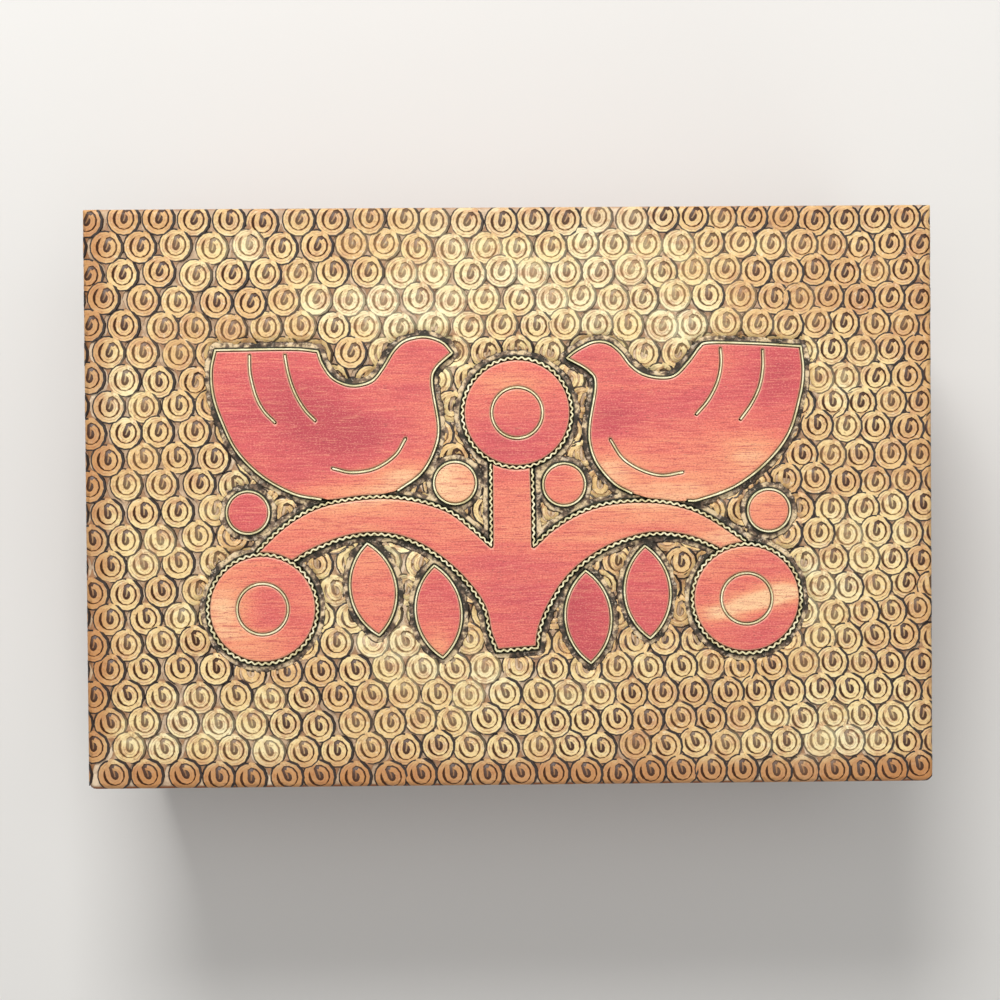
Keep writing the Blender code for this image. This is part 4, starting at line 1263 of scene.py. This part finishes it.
def offset_grid(nodes, given):
    """The stamps' places: rows offset by half a pitch, set closer together towards the lid's right end."""
    width = nodes.minus(given["Columns"], 1)
    depth = nodes.minus(given["Rows"], 1)
    grid = nodes.out("GeometryNodeMeshGrid", {
        "Size X": width, "Size Y": depth, "Vertices X": given["Columns"], "Vertices Y": given["Rows"],
    })
    place = nodes.position()
    row = nodes.plus(nodes.plus(place[1], nodes.times(depth, 0.5)), given["First Row"])
    y = nodes.times(nodes.minus(row, (ROWS - 1) / 2), given["Row Pitch"])
    offset = nodes.times(nodes.math("FLOORED_MODULO", nodes.math("ROUND", row), 2.0), 0.5)
    number = nodes.plus(place[0], offset)
    curve = nodes.minus((COLUMNS / 2) ** 2, nodes.times(number, number))
    x = nodes.times(number, given["Stamp Pitch"])
    x = nodes.plus(x, nodes.times(curve, given["Crowding"]))
    even = nodes.vector(x, y, 0.0)
    inputs = {"Vector": even, "Scale": 40.0, "Detail": 1.0}
    wandering = nodes.add("ShaderNodeTexNoise", inputs).outputs["Color"]
    wandering = nodes.vectors("SUBTRACT", wandering, (0.5, 0.5, 0.5))
    reach = nodes.vector(given["Row Wander"], given["Row Wander"], 0.0)
    spread = nodes.vector(given["Stray"], given["Stray"], nodes.times(given["Stray"], 0.2))
    stray = nodes.random_vector(spread, given["Seed"])
    stray = nodes.vectors("MULTIPLY_ADD", wandering, reach, stray)
    moved = nodes.vectors("ADD", even, stray)
    return nodes.out("GeometryNodeSetPosition", {"Geometry": grid, "Position": moved})


def stamp_turn(nodes, given):
    """Each stamp's tilt, and its turn, which drifts from the near rows to the far ones."""
    y = nodes.position()[1]
    drift = nodes.times(nodes.over(y, LID_HALF.y), TURN_DRIFT)
    usual = nodes.vector(*USUAL_TILT, nodes.plus(drift, USUAL_TURN))
    spread = nodes.vector(given["Tilt"], given["Tilt"], given["Turn Spread"])
    stray = nodes.random_vector(spread, nodes.plus(given["Seed"], 100))
    return nodes.vectors("ADD", usual, stray)


def spread_out(nodes, given, points, shape, turn, first_number):
    """The shape at each point. It stores a tone, a strength of staining and painted shade and a number for
    each copy.
    """
    inputs = {"Points": points, "Instance": shape, "Rotation": turn}
    placed = nodes.out("GeometryNodeInstanceOnPoints", inputs)
    tone = nodes.random_share(*TONES, given["Seed"])
    stain_and_shade = nodes.random_share(*STAIN_AND_SHADE_STRENGTHS, nodes.plus(given["Seed"], 50))
    number = nodes.plus(nodes.out("GeometryNodeInputIndex"), first_number)
    for name, value in (("tone", tone), ("stain_and_shade", stain_and_shade), ("stamp", number)):
        placed = nodes.keep(placed, name, value, "INSTANCE")
    return placed


def realized(tree, values):
    """The plain mesh that the tree makes with these inputs."""
    carrier = bpy.data.objects.new("carrier", bpy.data.meshes.new("carrier"))
    bpy.context.scene.collection.objects.link(carrier)
    step = carrier.modifiers.new("rows", "NODES")
    step.node_group = tree
    for socket in tree.interface.items_tree:
        if socket.in_out == "INPUT" and socket.name in values:
            step[socket.identifier] = values[socket.name]
    made = evaluated_mesh(carrier)
    bpy.data.objects.remove(carrier)
    return made


def cut_at_edges(bm):
    """Cuts off what reaches the lid's edges, closes the cut ends, and adds cuts where the edge is rounded."""
    for axis, side in ((0, 1), (0, -1), (1, 1), (1, -1)):
        for inset in EDGE_CUTS:
            place, outward = [0, 0, 0], [0, 0, 0]
            place[axis] = side * (LID_HALF[axis] - inset)
            outward[axis] = side
            whole = bm.verts[:] + bm.edges[:] + bm.faces[:]
            cut = bmesh.ops.bisect_plane(bm, geom=whole, dist=0.001 * MM, plane_co=place, plane_no=outward,
                                         clear_outer=inset == EDGE_CUTS[0])["geom_cut"]
            if inset == EDGE_CUTS[0]:
                edges = [item for item in cut if isinstance(item, bmesh.types.BMEdge)]
                bmesh.ops.holes_fill(bm, edges=edges)


def pressed(mesh, slits):
    """Lays stamps on the lid, pushed under at the gouged border and bent down with the lid's rounded edge.
    It takes away those that don't show, and behind the picture makes the rest paler, with less staining and
    painted shade."""
    bm = bmesh.new()
    bm.from_mesh(mesh)
    cut_at_edges(bm)
    bm.to_mesh(mesh)
    places = places_of(mesh)
    inset = np.array(LID_HALF) - np.abs(places[:, :2])
    in_corner = CORNER_ROUND - np.linalg.norm(CORNER_ROUND - inset, axis=1)
    near_edge = np.where(np.all(inset < CORNER_ROUND, axis=1), in_corner, np.min(inset, axis=1))
    fall = np.clip(EDGE_ROUND - near_edge, 0, EDGE_ROUND)
    clear = slits.border(places[:, :2])
    shown = np.clip((clear - DITCH_WIDTH) / (STAMPS_BEGIN - DITCH_WIDTH), 0, 1)
    places[:, 2] += GROUND - EDGE_ROUND + np.sqrt(EDGE_ROUND**2 - fall**2)
    places[:, 2] -= BORDER_SINK * (1 - shown) + FIELD_SINK * np.clip(1 - clear / (0.4 * MM), 0, 1)
    number = np.rint(stored(mesh, "stamp")).astype(int)
    kept = np.bincount(number, shown > 0) > 0
    set_places(mesh, places)
    store(mesh, "rim", amber_round_edge(places, 3.0 * MM, 8.0 * MM))
    pale = PALENESS * np.exp(-np.sum(((places[:, :2] - PALE_MIDDLE) / PALE_HALF) ** 2, axis=1))
    store(mesh, "tone", stored(mesh, "tone") + pale)
    store(mesh, "stain_and_shade", stored(mesh, "stain_and_shade") * (1 - pale))
    bm.clear()
    bm.from_mesh(mesh)
    bm.verts.ensure_lookup_table()
    gone = [vert for vert in bm.verts if not kept[number[vert.index]]]
    bmesh.ops.delete(bm, geom=gone, context="VERTS")
    bmesh.ops.recalc_face_normals(bm, faces=bm.faces)
    bm.to_mesh(mesh)
    bm.free()
    return mesh


def build_stamps(slits, finishes):
    tree = stamp_tree(finishes["punched_wood"])
    for band, rows in enumerate(np.array_split(np.arange(ROWS), BANDS)):
        mesh = realized(tree, {"First Row": int(rows[0]), "Rows": len(rows), "Seed": SEED + band})
        wood = [finishes["punched_wood"]]
        piece(f"spiral_rows_{band + 1}", pressed(mesh, slits), "lid", wood, sharp_degrees=70)


# Case, hinges and screws

def refined(node, edge, segments=2):
    """A copy of a frame piece with its sharp edges eased. The eased faces get the second finish."""
    bm = bmesh.new()
    bm.from_mesh(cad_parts[node].data)
    bmesh.ops.remove_doubles(bm, verts=bm.verts, dist=0.005 * MM)
    bmesh.ops.dissolve_limit(bm, angle_limit=math.radians(1), verts=bm.verts, edges=bm.edges)
    bmesh.ops.recalc_face_normals(bm, faces=bm.faces)
    sharp = [item for item in bm.edges if item.is_manifold and item.calc_face_angle() > math.radians(40)]
    bmesh.ops.bevel(bm, geom=sharp, offset=edge, segments=segments, profile=0.5, affect="EDGES",
                    clamp_overlap=True, material=1)
    return bm


def build_case(finishes):
    for side, along, inward in (("front", "along", (0, 1, 0)), ("back", "along", (0, -1, 0)),
                                ("left", "across", (1, 0, 0)), ("right", "across", (-1, 0, 0))):
        bm = refined(f"{side}_wall", WALL_EASE)
        for face in bm.faces:
            if face.material_index == 0 and face.normal.dot(Vector(inward)) > 0.9:
                face.material_index = 2
        woods = [finishes[f"stained_{along}"], finishes[f"stained_{along}"], finishes[f"bare_{along}"]]
        piece(f"{side}_panel", to_mesh(bm, side), "case", woods, [f"{side}_wall"])
    bottom = to_mesh(refined("bottom_panel", BOTTOM_EASE), "bottom")
    piece("plywood_bottom", bottom, "case", [finishes["plywood"]] * 2, ["bottom_panel"])


def build_hinges(finishes):
    brass = [finishes["hinge_brass"]]
    for side in ("left", "right"):
        for part, body in (("case", "case"), ("lid", "lid")):
            node = f"{part}_hinge_leaf_{side}"
            leaf = to_mesh(refined(node, LEAF_EASE, 1), node)
            piece(f"{part}_leaf_{side}", leaf, body, brass, [node])
            for number in (1, 2):
                node = f"{part}_screw_{side}_{number}"
                screw = screw_mesh(node, part == "lid")
                name = f"{part}_wood_screw_{side}_{number}"
                piece(name, screw, body, [finishes["screw_brass"]], [node])
        pin = f"hinge_pin_{side}"
        piece(f"pin_{side}", to_mesh(refined(pin, PIN_EASE), pin), "case", brass, [pin])


def screw_mesh(node, upside_down):
    """A countersunk wood screw with a slot across its head."""
    low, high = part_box(node)
    centre = (low + high) / 2
    head = (high.x - low.x) / 2
    length = high.z - low.z
    profile = [(0, -length), (0.3 * MM, -length + 0.5 * MM), (0.7 * MM, -length + 1.3 * MM),
               (0.7 * MM, -0.85 * MM), (head, -0.08 * MM), (head - 0.08 * MM, 0), (0, 0)]
    bm = bmesh.new()
    rings = []
    for radius, height in profile:
        spokes = SCREW_SIDES if radius else 1
        angles = [2 * math.pi * spoke / SCREW_SIDES for spoke in range(spokes)]
        rings.append([bm.verts.new((radius * math.cos(a), radius * math.sin(a), height)) for a in angles])
    for ring, following in zip(rings, rings[1:]):
        for side in range(SCREW_SIDES):
            turn = (side + 1) % SCREW_SIDES
            corners = [ring[side % len(ring)], ring[turn % len(ring)],
                       following[turn % len(following)], following[side % len(following)]]
            bm.faces.new(list(dict.fromkeys(corners)))
    bmesh.ops.recalc_face_normals(bm, faces=bm.faces)
    body = bpy.data.objects.new("screw", to_mesh(bm, "screw"))
    cutter_bm = bmesh.new()
    bmesh.ops.create_cube(cutter_bm, size=1.0)
    bmesh.ops.transform(cutter_bm, verts=cutter_bm.verts, matrix=Matrix.Diagonal((*SCREW_SLOT, 1.0)))
    cutter = bpy.data.objects.new("slot", to_mesh(cutter_bm, "slot"))
    for item in (body, cutter):
        bpy.context.scene.collection.objects.link(item)
    step = body.modifiers.new("slot", "BOOLEAN")
    step.operation = "DIFFERENCE"
    step.solver = "EXACT"
    step.object = cutter
    made = evaluated_mesh(body)
    for item in (body, cutter):
        bpy.data.objects.remove(item)
    turn = math.radians(20 + 31 * int(centre.x / MM) % 140)
    over = Matrix.Rotation(math.pi, 4, "X") if upside_down else Matrix()
    top = Vector((centre.x, centre.y, low.z if upside_down else high.z))
    made.transform(Matrix.Translation(top) @ over @ Matrix.Rotation(turn, 4, "Z"))
    return made


# Floor, light and camera

def build_stage():
    bm = bmesh.new()
    bmesh.ops.create_grid(bm, x_segments=1, y_segments=1, size=3.0)
    floor = bpy.data.objects.new("pale_floor", to_mesh(bm, "pale_floor"))
    floor.data.materials.append(pale_floor())
    bpy.context.scene.collection.objects.link(floor)


def softbox(name, place, aim, size, power):
    light = bpy.data.lights.new(name, "AREA")
    light.shape = "SQUARE"
    light.size = size
    light.energy = power
    made = bpy.data.objects.new(name, light)
    made.location = place
    made.rotation_euler = (Vector(aim) - Vector(place)).to_track_quat("-Z", "Y").to_euler()
    bpy.context.scene.collection.objects.link(made)


def build_light():
    for name, (place, aim, size, power) in SOFTBOXES.items():
        softbox(name, place, aim, size, power)
    world = bpy.data.worlds.new("studio")
    world.use_nodes = True
    world.node_tree.nodes["Background"].inputs["Color"].default_value = (1.0, 1.0, 1.0, 1.0)
    world.node_tree.nodes["Background"].inputs["Strength"].default_value = 0.25
    bpy.context.scene.world = world
    bpy.context.scene.view_settings.view_transform = "Standard"


def build_camera():
    camera = bpy.data.objects.new("camera", bpy.data.cameras.new("camera"))
    camera.data.lens = CAMERA_LENS_MM
    camera.data.clip_start = 0.01
    camera.location = (*CAMERA_OFFSET, GROUND + CAMERA_ABOVE_LID)
    camera.rotation_euler = [math.radians(angle) for angle in CAMERA_TILT_DEGREES]
    bpy.context.scene.collection.objects.link(camera)
    bpy.context.scene.camera = camera


def build():
    build_camera()
    build_light()
    build_stage()
    finishes = make_finishes()
    picture = Picture()
    slits = Slits(picture)
    build_lid_board(picture, slits, finishes)
    build_strips(picture, finishes)
    build_stamps(slits, finishes)
    build_case(finishes)
    build_hinges(finishes)


build()
